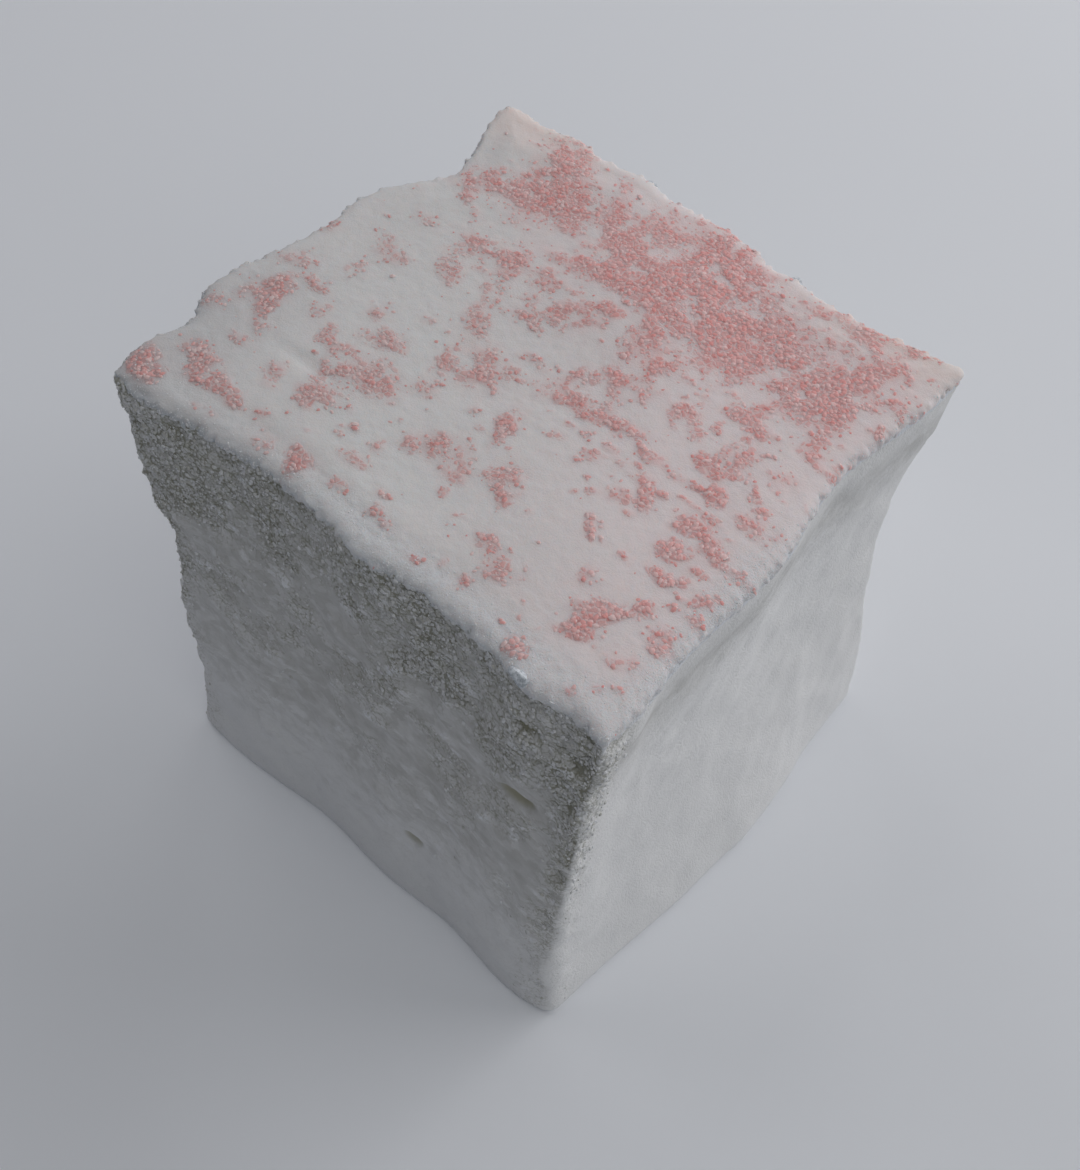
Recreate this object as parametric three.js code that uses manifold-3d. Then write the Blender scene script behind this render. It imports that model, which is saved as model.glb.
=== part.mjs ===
// A hand-cut marshmallow cube, about 30 mm on a side: a powdered skin on top with
// clumps of pink fruit crumb, four knife-cut foam sides that are pinched in at the
// middle and flare towards the base, and a flat underside that it stands on.
// Millimetres, +Z up. The origin is on the underside, below the middle of the box.

import * as THREE from 'three';
import { mergeVertices } from 'three/addons/utils/BufferGeometryUtils.js';
import Module from 'manifold-3d';

const HEIGHT = 31.6;
const SIDE = 30; // a side's length in round figures
const RIM_ROUND = 0.5; // height of the rounding where the skin turns down into a cut side
const RIM_ROUND_IN = 1.0; // and how far in from the side it reaches
const BASE_ROUND = 0.5; // radius where a side turns in to the underside
const CORNER_ROUND_TOP = 0.5; // how far a corner's rounding reaches along a side, at the rim
const CORNER_ROUND_BASE = 0.8; // and at the base
const PINCH = 0.35; // how far the middle of a side is pulled in behind its corners

// The four upright corners, anticlockwise from above: where each is, in plan, at each height.
const CORNER_HEIGHTS = [0, 6, 13, 21, 23.5, 27.5, HEIGHT];
const CORNERS = [
  [[-15.3, -15.6], [-14.6, -15.3], [-14.9, -15.1], [-14.2, -14.9], [-15.0, -15.0], [-15.3, -14.9],
    [-15.8, -14.8]],
  [[15.3, -15.6], [14.9, -15.5], [14.9, -15.3], [15.2, -15.1], [15.3, -15.0], [15.5, -14.9],
    [15.8, -14.8]],
  [[16.1, 15.4], [15.8, 15.0], [15.1, 14.0], [14.8, 13.3], [14.9, 13.7], [15.4, 14.4],
    [15.7, 14.7]],
  [[-15.4, 15.2], [-15.0, 14.6], [-14.6, 14.0], [-14.5, 13.8], [-14.6, 13.9], [-15.1, 14.4],
    [-15.8, 14.8]],
];
const CORNER_LIFT = [0.1, 0, 0.1, 0.6]; // how far each corner of the skin is turned up
const LIFT_START = 24; // height at which the walls start to stretch up with the corners

// How far each side stands out from the straight line between its corners,
// as [distance along the side, distance out], for the front, right, back and left sides.
const RIM_WAVE = [
  [[0, 0], [3, -0.1], [6.7, -0.6], [12, -0.9], [17, -0.3], [20, -0.6], [24.4, -0.5], [27, 0],
    [29.8, -0.3], [31.6, 0]],
  [[0, 0], [2.8, 0], [4.8, -0.3], [8, -0.2], [11.8, 0], [14.3, -0.2], [17.3, -0.8], [19.8, -1],
    [22.7, -0.6], [27, -0.1], [29.5, 0]],
  [[0, 0], [3, -0.5], [6.7, -0.8], [8.7, -0.6], [10.4, -0.3], [11.5, -0.5], [15.2, 0.4], [20, 0.3],
    [21.4, 0.7], [24.7, 0.3], [26.2, 0.6], [28.6, 0.1], [31.5, 0]],
  [[0, 0], [2, -0.2], [4.4, -1.2], [6.4, -1.7], [7.5, -1.5], [9.2, -0.1], [11.8, 0.8], [14.3, 0.5],
    [18.1, 1], [22.3, 1.5], [24.5, 0.2], [27.2, 0.7], [29.6, 0]],
];
const BASE_WAVE = [
  [[0, 0], [3.7, 0.2], [7.3, 0], [11.3, -0.3], [17.3, 0.1], [21.3, -0.1], [27.9, 0.5], [30.3, 0]],
  [[0, 0], [4.3, 0.3], [10.7, 1.0], [14.8, 1.2], [16.2, 1.35], [22.6, 0.8], [24.3, 0.45], [30.7, 0]],
  [[0, 0], [6, 0.4], [11, 0], [18, 0.5], [25, 0.1], [31.5, 0]],
  [[0, 0], [5, 0.3], [12, 0.9], [17, 0.5], [24, 0.8], [30.8, 0]],
];

// Torn foam: lumps that the knife left on the cut sides, as size across and height.
const LUMPS = { size: 4.2, height: 0.35 };
const CRAGS = { size: 1.6, height: 0.45 };
const SIDE_SHARES = [1, 0.5, 0.8, 0.8]; // how much of that the front, right, back and left sides have
const SWELLS = { size: 8, height: 0.45 }; // slow rise and fall of the skin on top
const DROOP = { width: 1.8, drop: 0.12 }; // how the skin sinks towards its edge
const CREASE = { x: -9.2, y: -8.0, length: 1.8, width: 0.5, depth: 0.13 };
const RELIEF_FADE = 2.5; // lumps, crags and swells die out this far from an edge

// Pits torn in the front side: centre, length along x, depth, height, and the angle in degrees
// by which each is turned down about y.
const PITS = [
  { x: 11.2, z: 21.2, length: 2.6, depth: 0.45, height: 0.9, tilt: -14 },
  { x: 3.8, z: 7.0, length: 1.7, depth: 0.4, height: 1.3, tilt: -14 },
  { x: 11.6, z: 28.4, length: 1.5, depth: 0.35, height: 0.5, tilt: 0 },
];

// Clumps of fruit crumb stuck on the skin: [x, y, length, width, turn in degrees].
const CLUMPS = [
  [-9.3, 12.1, 4.4, 1.8, -65], [-7.1, 10.4, 2.3, 1.7, 0], [-11.2, 9.1, 2.6, 1.3, 10],
  [-11.5, 6.9, 1.6, 0.6, -50], [-5.1, 12.0, 2.2, 0.9, -60], [-2.2, 11.4, 2.2, 1.8, 30],
  [1.9, 12.4, 3.8, 1.8, -60], [3.6, 9.2, 4.0, 2.0, -60], [0.0, 9.3, 2.8, 2.0, 80],
  [-2.9, 7.6, 2.4, 1.6, 0], [6.8, 7.2, 2.0, 1.6, 70], [7.8, 9.6, 2.8, 1.6, 10],
  [11.2, 7.8, 3.0, 2.4, 60], [12.6, 11.0, 2.6, 1.4, 70], [10.7, 13.2, 1.5, 1.0, -60],
  [14.7, 9.8, 1.3, 0.9, 20], [2.3, 7.0, 2.2, 1.2, -70], [-8.5, 4.8, 2.2, 1.6, 20],
  [-6.4, 4.8, 2.2, 1.2, -65], [-8.6, 2.2, 2.2, 1.1, -45], [-4.0, 5.0, 1.6, 1.1, -10],
  [-1.0, 4.8, 1.6, 1.1, 30], [-2.2, 3.3, 2.0, 1.3, 35], [2.4, 4.6, 1.8, 1.3, 70],
  [4.2, 4.2, 1.9, 0.9, 80], [1.6, 1.0, 1.8, 0.8, 65], [3.2, 1.6, 2.0, 0.8, -50],
  [2.6, -0.5, 2.6, 0.9, -5], [5.2, -0.5, 1.9, 0.8, 10], [6.9, 2.4, 1.2, 1.0, 30],
  [9.4, 4.3, 1.7, 1.1, 60], [12.9, 4.8, 1.4, 1.1, -50], [10.6, 1.2, 1.9, 1.1, 80],
  [9.6, -1.1, 1.9, 0.6, 0], [11.0, -0.9, 1.4, 0.8, -20], [13.7, -1.3, 1.2, 1.0, -60],
  [8.4, -3.1, 1.7, 0.8, -50], [7.5, -4.1, 0.9, 0.6, 0], [12.5, -3.7, 1.9, 0.8, -30],
  [11.8, -4.9, 1.0, 0.9, 0], [-4.3, -3.0, 1.6, 0.9, -60], [-3.1, -1.3, 1.4, 0.9, 0],
  [1.0, -4.2, 2.0, 0.6, -75], [0.4, -7.4, 2.2, 1.6, -20], [3.4, -7.0, 1.5, 1.3, -40],
  [-7.3, -4.0, 1.6, 1.0, 0], [-8.0, -6.9, 1.8, 1.2, -40], [-5.6, -6.6, 2.0, 1.3, 0],
  [-14.1, -5.6, 2.9, 1.4, -55], [-13.0, -3.8, 1.2, 0.6, 0], [-12.0, 1.1, 1.6, 1.0, -30],
  [-7.0, -9.2, 1.5, 1.2, -20], [-12.9, -11.7, 2.2, 1.0, -20], [-10.9, -11.9, 1.8, 0.7, 0],
  [-14.9, -13.4, 2.2, 1.1, -25], [-7.2, -13.0, 1.2, 0.7, 0], [-4.6, -12.7, 1.2, 0.9, -60],
  [6.7, -11.2, 1.2, 0.9, 70], [11.3, -10.6, 2.3, 1.0, 75], [12.1, -8.8, 1.5, 0.6, 55],
  [13.8, -11.3, 1.1, 0.7, 10], [14.6, -9.4, 1.1, 0.8, -60], [10.0, -13.3, 0.9, 0.7, 0],
  [12.0, -6.4, 0.9, 0.6, 0], [14.3, -6.7, 1.1, 0.6, -70], [8.2, -6.6, 0.9, 0.5, -40],
];
const CLUMP_RISE = 0.25; // how far a clump stands above the skin
const CLUMP_ROOT = 0.1; // how deep its middle is sunk below the skin
const CLUMP_SIDES = 8;
const CLUMP_BANDS = 4;

// Crumbs that overhang the rim and show against it: [x, y, how far below the skin, length,
// width, height, the angle in degrees by which it is turned down about y].
const RIM_CRUMBS = [
  [11.0, -14.75, 0.1, 1.1, 0.5, 0.6, 37], [-5.5, 15.3, 0.5, 1.1, 0.8, 0.6, 0],
  [5.2, 14.4, 0.5, 0.7, 0.8, 0.5, 0],
];

const FACE_STEPS = 20; // steps along a side between its rounded corners
const CORNER_STEPS = 4; // steps round a corner, an even number
const SIDE_STEPS = 22; // rows up a side
const ROUND_STEPS = 2; // rows in the rim's and the base's rounding
const STEPS = FACE_STEPS + CORNER_STEPS;

const mix = (a, b, t) => a + (b - a) * t;
const smooth = (t) => t * t * (3 - 2 * t);
const clamp = THREE.MathUtils.clamp;

// A smooth curve through [position, value] stations.
function curveThrough(stations) {
  const positions = stations.map((station) => station[0]);
  const values = stations.map((station) => station[1]);
  const curve = new THREE.CubicInterpolant(positions, values, 1);
  return (position) => curve.evaluate(position)[0];
}

// A repeatable random number from 0 to 1 for a cell of the noise.
function cellValue(i, j, k) {
  const wave = Math.sin(i * 127.1 + j * 311.7 + k * 74.7) * 43758.5453;
  return wave - Math.floor(wave);
}

// Smooth noise from -0.5 to 0.5: random values at the corners of cells, blended between.
function noise(x, y, z, size) {
  const cell = [x / size, y / size, z / size].map(Math.floor);
  const [fx, fy, fz] = [x / size, y / size, z / size].map((v, n) => smooth(v - cell[n]));
  const edge = (j, k) => mix(
    cellValue(cell[0], cell[1] + j, cell[2] + k),
    cellValue(cell[0] + 1, cell[1] + j, cell[2] + k), fx);
  return mix(mix(edge(0, 0), edge(1, 0), fy), mix(edge(0, 1), edge(1, 1), fy), fz) - 0.5;
}

const cornerPaths = CORNERS.map((places) => [0, 1].map((axis) => (
  curveThrough(places.map((place, n) => [CORNER_HEIGHTS[n], place[axis]])))));
const rimWaves = RIM_WAVE.map(curveThrough);
const baseWaves = BASE_WAVE.map(curveThrough);

// Where upright corner n is, in plan, at a height.
const cornerAt = (n, z) => new THREE.Vector2(...cornerPaths[n % 4].map((path) => path(z)));

// A point of one side at fraction u along it: on the line between its two corners, moved
// out by the rim's wave and the base's wave, each of which dies out as the square of the height.
function sidePoint(side, u, z) {
  const from = cornerAt(side, z);
  const to = cornerAt(side + 1, z);
  const run = to.clone().sub(from);
  const out = new THREE.Vector2(run.y, -run.x).normalize();
  const up = z / HEIGHT;
  const rim = rimWaves[side](u * RIM_WAVE[side].at(-1)[0]);
  const base = baseWaves[side](u * BASE_WAVE[side].at(-1)[0]);
  const wave = base * (1 - up) ** 2 + rim * up ** 2;
  const pinch = PINCH * 4 * u * (1 - u) * 4 * up * (1 - up);
  const point = from.addScaledVector(run, u);
  const fade = clamp(Math.min(z, HEIGHT - z) / RELIEF_FADE, 0, 1);
  const torn = LUMPS.height * noise(point.x, point.y, z, LUMPS.size)
    + CRAGS.height * noise(point.x, point.y, z, CRAGS.size);
  return point.addScaledVector(out, wave - pinch + SIDE_SHARES[side] * torn * fade);
}

// One ring round the cube at a height, with each corner rounded by a quadratic curve.
function ringAt(z) {
  const reach = mix(CORNER_ROUND_BASE, CORNER_ROUND_TOP, z / HEIGHT) / SIDE;
  const corners = [0, 1, 2, 3].map((n) => new THREE.QuadraticBezierCurve(
    sidePoint((n + 3) % 4, 1 - reach, z), cornerAt(n, z), sidePoint(n, reach, z)));
  const ring = [];
  for (let side = 0; side < 4; side += 1) {
    const half = CORNER_STEPS / 2;
    for (let k = half; k < CORNER_STEPS; k += 1) {
      ring.push(corners[side].getPoint(k / CORNER_STEPS));
    }
    for (let k = 0; k <= FACE_STEPS; k += 1) {
      ring.push(sidePoint(side, mix(reach, 1 - reach, k / FACE_STEPS), z));
    }
    for (let k = 1; k < half; k += 1) {
      ring.push(corners[(side + 1) % 4].getPoint(k / CORNER_STEPS));
    }
  }
  return ring;
}

// The ring moved inward by a distance, square to itself.
function inset(ring, distance) {
  return ring.map((point, n) => {
    const next = ring[(n + 1) % ring.length];
    const last = ring[(n + ring.length - 1) % ring.length];
    const run = next.clone().sub(last).normalize();
    return new THREE.Vector2(point.x - run.y * distance, point.y + run.x * distance);
  });
}

// How much the skin is turned up at a place in plan: each corner's lift dies out away from it.
function skinLift(x, y) {
  const right = clamp(x / SIDE + 0.5, 0, 1) ** 4;
  const left = clamp(0.5 - x / SIDE, 0, 1) ** 4;
  const back = clamp(y / SIDE + 0.5, 0, 1) ** 4;
  const front = clamp(0.5 - y / SIDE, 0, 1) ** 4;
  const [frontLeft, frontRight, backRight, backLeft] = CORNER_LIFT;
  return front * (frontLeft * left + frontRight * right) + back * (backRight * right + backLeft * left);
}

// Every ring from the underside's edge to the skin's edge, as 3-D points.
function wallRings() {
  const rings = [];
  const addRing = (z, distance) => {
    const stretch = smooth(clamp((z - LIFT_START) / (HEIGHT - LIFT_START), 0, 1));
    rings.push(inset(ringAt(z), distance).map((point) => (
      new THREE.Vector3(point.x, point.y, z + stretch * skinLift(point.x, point.y)))));
  };
  for (let k = 0; k < ROUND_STEPS; k += 1) {
    const turn = (k / ROUND_STEPS) * (Math.PI / 2);
    addRing(BASE_ROUND * (1 - Math.cos(turn)), BASE_ROUND * (1 - Math.sin(turn)));
  }
  for (let k = 0; k <= SIDE_STEPS; k += 1) {
    addRing(mix(BASE_ROUND, HEIGHT - RIM_ROUND, k / SIDE_STEPS), 0);
  }
  for (let k = 1; k <= ROUND_STEPS; k += 1) {
    const turn = (k / ROUND_STEPS) * (Math.PI / 2);
    addRing(HEIGHT - RIM_ROUND * (1 - Math.sin(turn)), RIM_ROUND_IN * (1 - Math.cos(turn)));
  }
  return rings;
}

// The skin's relief inside its edge: slow swells, one short crease and a droop to the edge.
function skinRelief(point, edgeDistance) {
  const along = (point.x - CREASE.x) / CREASE.length;
  const across = (point.y - CREASE.y) / CREASE.width;
  const crease = CREASE.depth * Math.exp(-along * along - across * across);
  const swell = SWELLS.height * noise(point.x, point.y, 0, SWELLS.size);
  const rise = DROOP.drop * smooth(clamp(edgeDistance / DROOP.width, 0, 1));
  return rise + smooth(clamp(edgeDistance / RELIEF_FADE, 0, 1)) * (swell - crease);
}

// Place on the skin's edge ring of step i along x and j along y, or -1 inside the edge.
function edgePlace(i, j) {
  if (j === 0) return i;
  if (i === STEPS) return STEPS + j;
  if (j === STEPS) return 3 * STEPS - i;
  if (i === 0) return 4 * STEPS - j;
  return -1;
}

// A point inside the skin's edge: the four sides of the edge blended across, with relief.
function skinPoint(edge, i, j) {
  const at = (a, b) => edge[edgePlace(a, b)];
  const [u, v] = [i / STEPS, j / STEPS];
  const point = new THREE.Vector3()
    .addScaledVector(at(i, 0), 1 - v)
    .addScaledVector(at(i, STEPS), v)
    .addScaledVector(at(0, j), 1 - u)
    .addScaledVector(at(STEPS, j), u)
    .addScaledVector(at(0, 0), -(1 - u) * (1 - v))
    .addScaledVector(at(STEPS, 0), -u * (1 - v))
    .addScaledVector(at(0, STEPS), -(1 - u) * v)
    .addScaledVector(at(STEPS, STEPS), -u * v);
  point.z += skinRelief(point, SIDE * Math.min(u, 1 - u, v, 1 - v));
  return point;
}

// The marshmallow without its crumb: rings up the walls, a grid stretched across
// the top inside the last ring, and a fan that closes the underside.
function bodyGeometry() {
  const rings = wallRings();
  const count = 4 * STEPS;
  const points = rings.flat();
  const faces = [];
  for (let low = 0; low < points.length - count; low += count) {
    const high = low + count;
    for (let n = 0; n < count; n += 1) {
      const next = (n + 1) % count;
      faces.push([low + n, low + next, high + next], [low + n, high + next, high + n]);
    }
  }
  const edgeStart = points.length - count;
  const middle = points.push(new THREE.Vector3(0, 0, 0)) - 1;
  for (let n = 0; n < count; n += 1) {
    faces.push([middle, (n + 1) % count, n]);
  }
  const grid = [];
  for (let j = 0; j <= STEPS; j += 1) {
    for (let i = 0; i <= STEPS; i += 1) {
      const place = edgePlace(i, j);
      grid.push(place < 0 ? points.push(skinPoint(rings.at(-1), i, j)) - 1 : edgeStart + place);
    }
  }
  const row = STEPS + 1;
  for (let j = 0; j < STEPS; j += 1) {
    for (let i = 0; i < STEPS; i += 1) {
      const [a, b, c, d] = [j * row + i, j * row + i + 1, (j + 1) * row + i + 1, (j + 1) * row + i];
      faces.push([grid[a], grid[b], grid[c]], [grid[a], grid[c], grid[d]]);
    }
  }
  const geometry = new THREE.BufferGeometry();
  geometry.setAttribute('position', new THREE.Float32BufferAttribute(
    points.flatMap((point) => point.toArray()), 3));
  geometry.setIndex(faces.flat());
  return geometry;
}

// A small rounded lump of the given size, turned down about y by a tilt and about z by a turn,
// both in degrees, and centred on a place.
function lumpGeometry(length, width, height, tilt, turn, place) {
  const geometry = new THREE.SphereGeometry(0.5, CLUMP_SIDES, CLUMP_BANDS);
  geometry.rotateX(Math.PI / 2);
  geometry.scale(length, width, height);
  geometry.rotateY(THREE.MathUtils.degToRad(tilt));
  geometry.rotateZ(THREE.MathUtils.degToRad(turn));
  geometry.translate(place.x, place.y, place.z);
  return geometry;
}

const wasm = await Module();
wasm.setup();

// A closed geometry as a solid that can be joined and cut.
function solidOf(geometry) {
  const bare = geometry.clone();
  bare.deleteAttribute('normal');
  bare.deleteAttribute('uv');
  const merged = mergeVertices(bare, 1e-4);
  return new wasm.Manifold(new wasm.Mesh({
    numProp: 3,
    vertProperties: merged.attributes.position.array,
    triVerts: new Uint32Array(merged.index.array),
  }));
}

function geometryOf(solid) {
  const mesh = solid.getMesh();
  const geometry = new THREE.BufferGeometry();
  geometry.setAttribute('position', new THREE.BufferAttribute(mesh.vertProperties, 3));
  geometry.setIndex(new THREE.BufferAttribute(mesh.triVerts, 1));
  geometry.computeVertexNormals();
  return geometry;
}

// The first point of the body that a ray meets.
function surfacePoint(body, from, direction) {
  return new THREE.Raycaster(from, direction).intersectObject(body)[0].point;
}

function marshmallowGeometry() {
  const body = new THREE.Mesh(bodyGeometry());
  const down = new THREE.Vector3(0, 0, -1);
  const inward = new THREE.Vector3(0, 1, 0);
  let solid = solidOf(body.geometry);
  for (const [x, y, length, width, turn] of CLUMPS) {
    const place = surfacePoint(body, new THREE.Vector3(x, y, 2 * HEIGHT), down);
    place.z -= CLUMP_ROOT;
    const height = 2 * (CLUMP_RISE + CLUMP_ROOT);
    solid = solid.add(solidOf(lumpGeometry(length, width, height, 0, turn, place)));
  }
  for (const [x, y, drop, length, width, height, tilt] of RIM_CRUMBS) {
    const place = new THREE.Vector3(x, y, HEIGHT - drop);
    solid = solid.add(solidOf(lumpGeometry(length, width, height, tilt, 0, place)));
  }
  for (const { x, z, length, depth, height, tilt } of PITS) {
    const place = surfacePoint(body, new THREE.Vector3(x, -2 * HEIGHT, z), inward);
    solid = solid.subtract(solidOf(lumpGeometry(length, 2 * depth, height, tilt, 0, place)));
  }
  return geometryOf(solid);
}

const foam = new THREE.MeshStandardMaterial({ color: 0xece9e6, roughness: 0.95, metalness: 0 });
const marshmallow = new THREE.Mesh(marshmallowGeometry(), foam);
marshmallow.name = 'marshmallow';

const group = new THREE.Group();
group.add(marshmallow);

export default group;
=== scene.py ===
"""A hand-cut marshmallow cube: a powdered skin on top with clumps of pink fruit crumb, four torn
foam sides, pinched in at the middle, and a flat underside.

Shapes are worked out in millimetres, with +Z up, and become metres when a mesh is made."""
import math

import bpy
import numpy as np
from mathutils import Matrix, Vector


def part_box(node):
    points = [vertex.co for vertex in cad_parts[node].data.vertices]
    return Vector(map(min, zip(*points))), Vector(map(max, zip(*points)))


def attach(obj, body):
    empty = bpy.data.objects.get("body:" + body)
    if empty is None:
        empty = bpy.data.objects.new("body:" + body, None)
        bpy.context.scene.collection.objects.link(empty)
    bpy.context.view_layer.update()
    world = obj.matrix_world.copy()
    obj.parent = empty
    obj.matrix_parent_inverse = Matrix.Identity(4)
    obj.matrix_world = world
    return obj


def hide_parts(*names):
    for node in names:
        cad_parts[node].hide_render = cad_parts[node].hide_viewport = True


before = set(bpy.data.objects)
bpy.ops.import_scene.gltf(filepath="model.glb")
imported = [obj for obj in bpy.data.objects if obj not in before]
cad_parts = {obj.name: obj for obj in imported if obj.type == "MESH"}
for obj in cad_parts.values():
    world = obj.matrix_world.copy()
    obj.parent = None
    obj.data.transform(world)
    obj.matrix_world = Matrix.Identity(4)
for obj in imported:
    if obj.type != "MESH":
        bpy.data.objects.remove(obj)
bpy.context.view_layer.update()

MM = 0.001
BOX_LOW, BOX_HIGH = (np.array(corner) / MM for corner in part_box("marshmallow"))

# ---------------------------------------------------------------------------------------------
# Sizes of the cube, the same as the solid's
# ---------------------------------------------------------------------------------------------
HEIGHT = 31.6
SIDE = 30.0  # a side's length in round figures
RIM_ROUND = 0.5  # height of the rounding where the skin turns down into a cut side
RIM_ROUND_IN = 1.0  # and how far in from the side it reaches
BASE_ROUND = 0.5  # radius where a side turns in to the underside
CORNER_ROUND_TOP = 0.5  # how far a corner's rounding reaches along a side, at the rim
CORNER_ROUND_BASE = 0.8  # and at the base
PINCH = 0.35  # how far the middle of a side is pulled in behind its corners
CORNER_LIFT = (0.1, 0.0, 0.1, 0.6)  # how far each corner of the skin is turned up
LIFT_START = 24.0  # height at which the walls start to stretch up with the corners
FRONT, RIGHT, BACK, LEFT = range(4)

# The four upright corners, anticlockwise from above: where each is, in plan, at each height.
CORNER_HEIGHTS = (0, 6, 13, 21, 23.5, 27.5, HEIGHT)
CORNERS = (
    ((-15.3, -15.6), (-14.6, -15.3), (-14.9, -15.1), (-14.2, -14.9), (-15.0, -15.0), (-15.3, -14.9),
     (-15.8, -14.8)),
    ((15.3, -15.6), (14.9, -15.5), (14.9, -15.3), (15.2, -15.1), (15.3, -15.0), (15.5, -14.9),
     (15.8, -14.8)),
    ((16.1, 15.4), (15.8, 15.0), (15.1, 14.0), (14.8, 13.3), (14.9, 13.7), (15.4, 14.4), (15.7, 14.7)),
    ((-15.4, 15.2), (-15.0, 14.6), (-14.6, 14.0), (-14.5, 13.8), (-14.6, 13.9), (-15.1, 14.4),
     (-15.8, 14.8)),
)

# How far each side stands out from the straight line between its corners,
# as (distance along the side, distance out), for the front, right, back and left sides.
RIM_WAVE = (
    ((0, 0), (3, -0.1), (6.7, -0.6), (12, -0.9), (17, -0.3), (20, -0.6), (24.4, -0.5), (27, 0),
     (29.8, -0.3), (31.6, 0)),
    ((0, 0), (2.8, 0), (4.8, -0.3), (8, -0.2), (11.8, 0), (14.3, -0.2), (17.3, -0.8), (19.8, -1),
     (22.7, -0.6), (27, -0.1), (29.5, 0)),
    ((0, 0), (3, -0.5), (6.7, -0.8), (8.7, -0.6), (10.4, -0.3), (11.5, -0.5), (15.2, 0.4), (20, 0.3),
     (21.4, 0.7), (24.7, 0.3), (26.2, 0.6), (28.6, 0.1), (31.5, 0)),
    ((0, 0), (2, -0.2), (4.4, -1.2), (6.4, -1.7), (7.5, -1.5), (9.2, -0.1), (11.8, 0.8), (14.3, 0.5),
     (18.1, 1), (22.3, 1.5), (24.5, 0.2), (27.2, 0.7), (29.6, 0)),
)
BASE_WAVE = (
    ((0, 0), (3.7, 0.2), (7.3, 0), (11.3, -0.3), (17.3, 0.1), (21.3, -0.1), (27.9, 0.5), (30.3, 0)),
    ((0, 0), (4.3, 0.3), (10.7, 1.0), (14.8, 1.2), (16.2, 1.35), (22.6, 0.8), (24.3, 0.45), (30.7, 0)),
    ((0, 0), (6, 0.4), (11, 0), (18, 0.5), (25, 0.1), (31.5, 0)),
    ((0, 0), (5, 0.3), (12, 0.9), (17, 0.5), (24, 0.8), (30.8, 0)),
)

# Relief, as (size across, height): torn foam on the sides, slow swells of the skin on top.
LUMPS = (4.2, 0.35)
CRAGS = (1.6, 0.45)
SWELLS = (8.0, 0.45)
SIDE_SHARES = (1.0, 0.5, 0.8, 0.8)  # how much torn foam the front, right, back and left sides have
RELIEF_FADE = 2.5  # lumps, crags and swells die out this far from an edge
DROOP = (1.8, 0.12)  # how near its edge the skin starts to sink, and how far it sinks
CREASE_X, CREASE_Y, CREASE_LENGTH, CREASE_WIDTH, CREASE_DEPTH = -9.2, -8.0, 1.8, 0.5, 0.13

# Finer relief, which the solid is too coarse for, as (size across, height).
KNOBS = (0.9, 0.18)  # on the cut sides
GRAIN = (0.42, 0.17)  # where the foam is torn
CORNER_RAGS = (0.65, 0.5)  # along torn upright corners
RIM_RAGS = (0.9, 0.18)  # along the coat's rim
RIM_TUFTS = (0.28, 0.24)  # and finer ones on them
SKIN_DIMPLES = (1.8, 0.012)
SKIN_GRAIN = (0.5, 0.03)
SKIN_POWDER = (0.24, 0.05)
MOUND = 0.06  # how far the skin stands up under a clump of fruit
HIGHLIT_KNOB_RISE = 0.18  # how far a knob of foam with a painted highlight stands out
FULL_RELIEF = 0.3  # the height that counts as 1 where a finish goes by height
KNOB_SQUASH = (0.85, 0.85, 1.15)  # makes the knobs a little wider than they are tall

# Near an upright corner, x and y without their signs add up to about 30. The sums at which ragged
# foam at all four corners, and torn foam at the front two, start and are full.
RAGGED_CORNERS, TORN_CORNERS = (28.0, 29.6), (27.6, 29.8)

# How far the torn foam reaches below the rim, and how much further or less far on two sides.
TORN_REACH, TORN_FURTHER_IN_FRONT, TORN_LESS_ON_THE_RIGHT = 6.0, 6.0, 3.4
STARCH_ON_THE_RIGHT = 0.75  # share of the right side's tears that starch has filled

# Pits torn in the front side: centre x and z, length along x, depth, height, and the angle in
# degrees by which each is turned down about y.
PITS = (
    (11.2, 21.2, 2.5, 0.36, 1.05, -14), (3.8, 7.0, 1.7, 0.25, 1.3, -14), (11.6, 28.4, 1.5, 0.25, 0.6, 0),
)

# Knobs of foam that catch the light on the front side, and are given painted highlights: centre x and z,
# size and height.
FRONT_KNOBS = (
    (-12.0, 19.2, 1.5, 0.25), (-10.1, 19.9, 1.3, 0.2), (0.8, 17.0, 1.2, 0.3), (9.3, 17.0, 1.1, 0.3),
    (11.4, 17.6, 0.9, 0.25), (0.9, 26.9, 0.9, 0.3), (5.8, 27.0, 1.0, 0.3), (7.4, 27.0, 1.1, 0.3),
    (3.0, 23.8, 1.1, 0.35), (-5.2, 23.2, 1.2, 0.3), (-5.2, 27.1, 0.8, 0.25), (6.4, 24.4, 0.6, 0.25),
    (7.9, 22.5, 0.6, 0.2), (11.1, 23.4, 0.6, 0.25), (13.3, 25.1, 0.7, 0.25), (1.0, 21.4, 1.1, 0.2),
    (2.3, 25.5, 0.7, 0.25), (4.8, 25.3, 0.8, 0.25), (-2.3, 16.6, 0.9, 0.2), (-7.3, 15.0, 1.0, 0.2),
    (6.2, 21.1, 0.8, 0.2), (-1.9, 23.2, 0.6, 0.2), (7.1, 1.5, 0.7, 0.2), (-2.2, 12.3, 0.9, 0.2),
    (10.9, 29.0, 0.9, 0.25), (9.8, 21.7, 0.6, 0.3),
)

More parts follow.
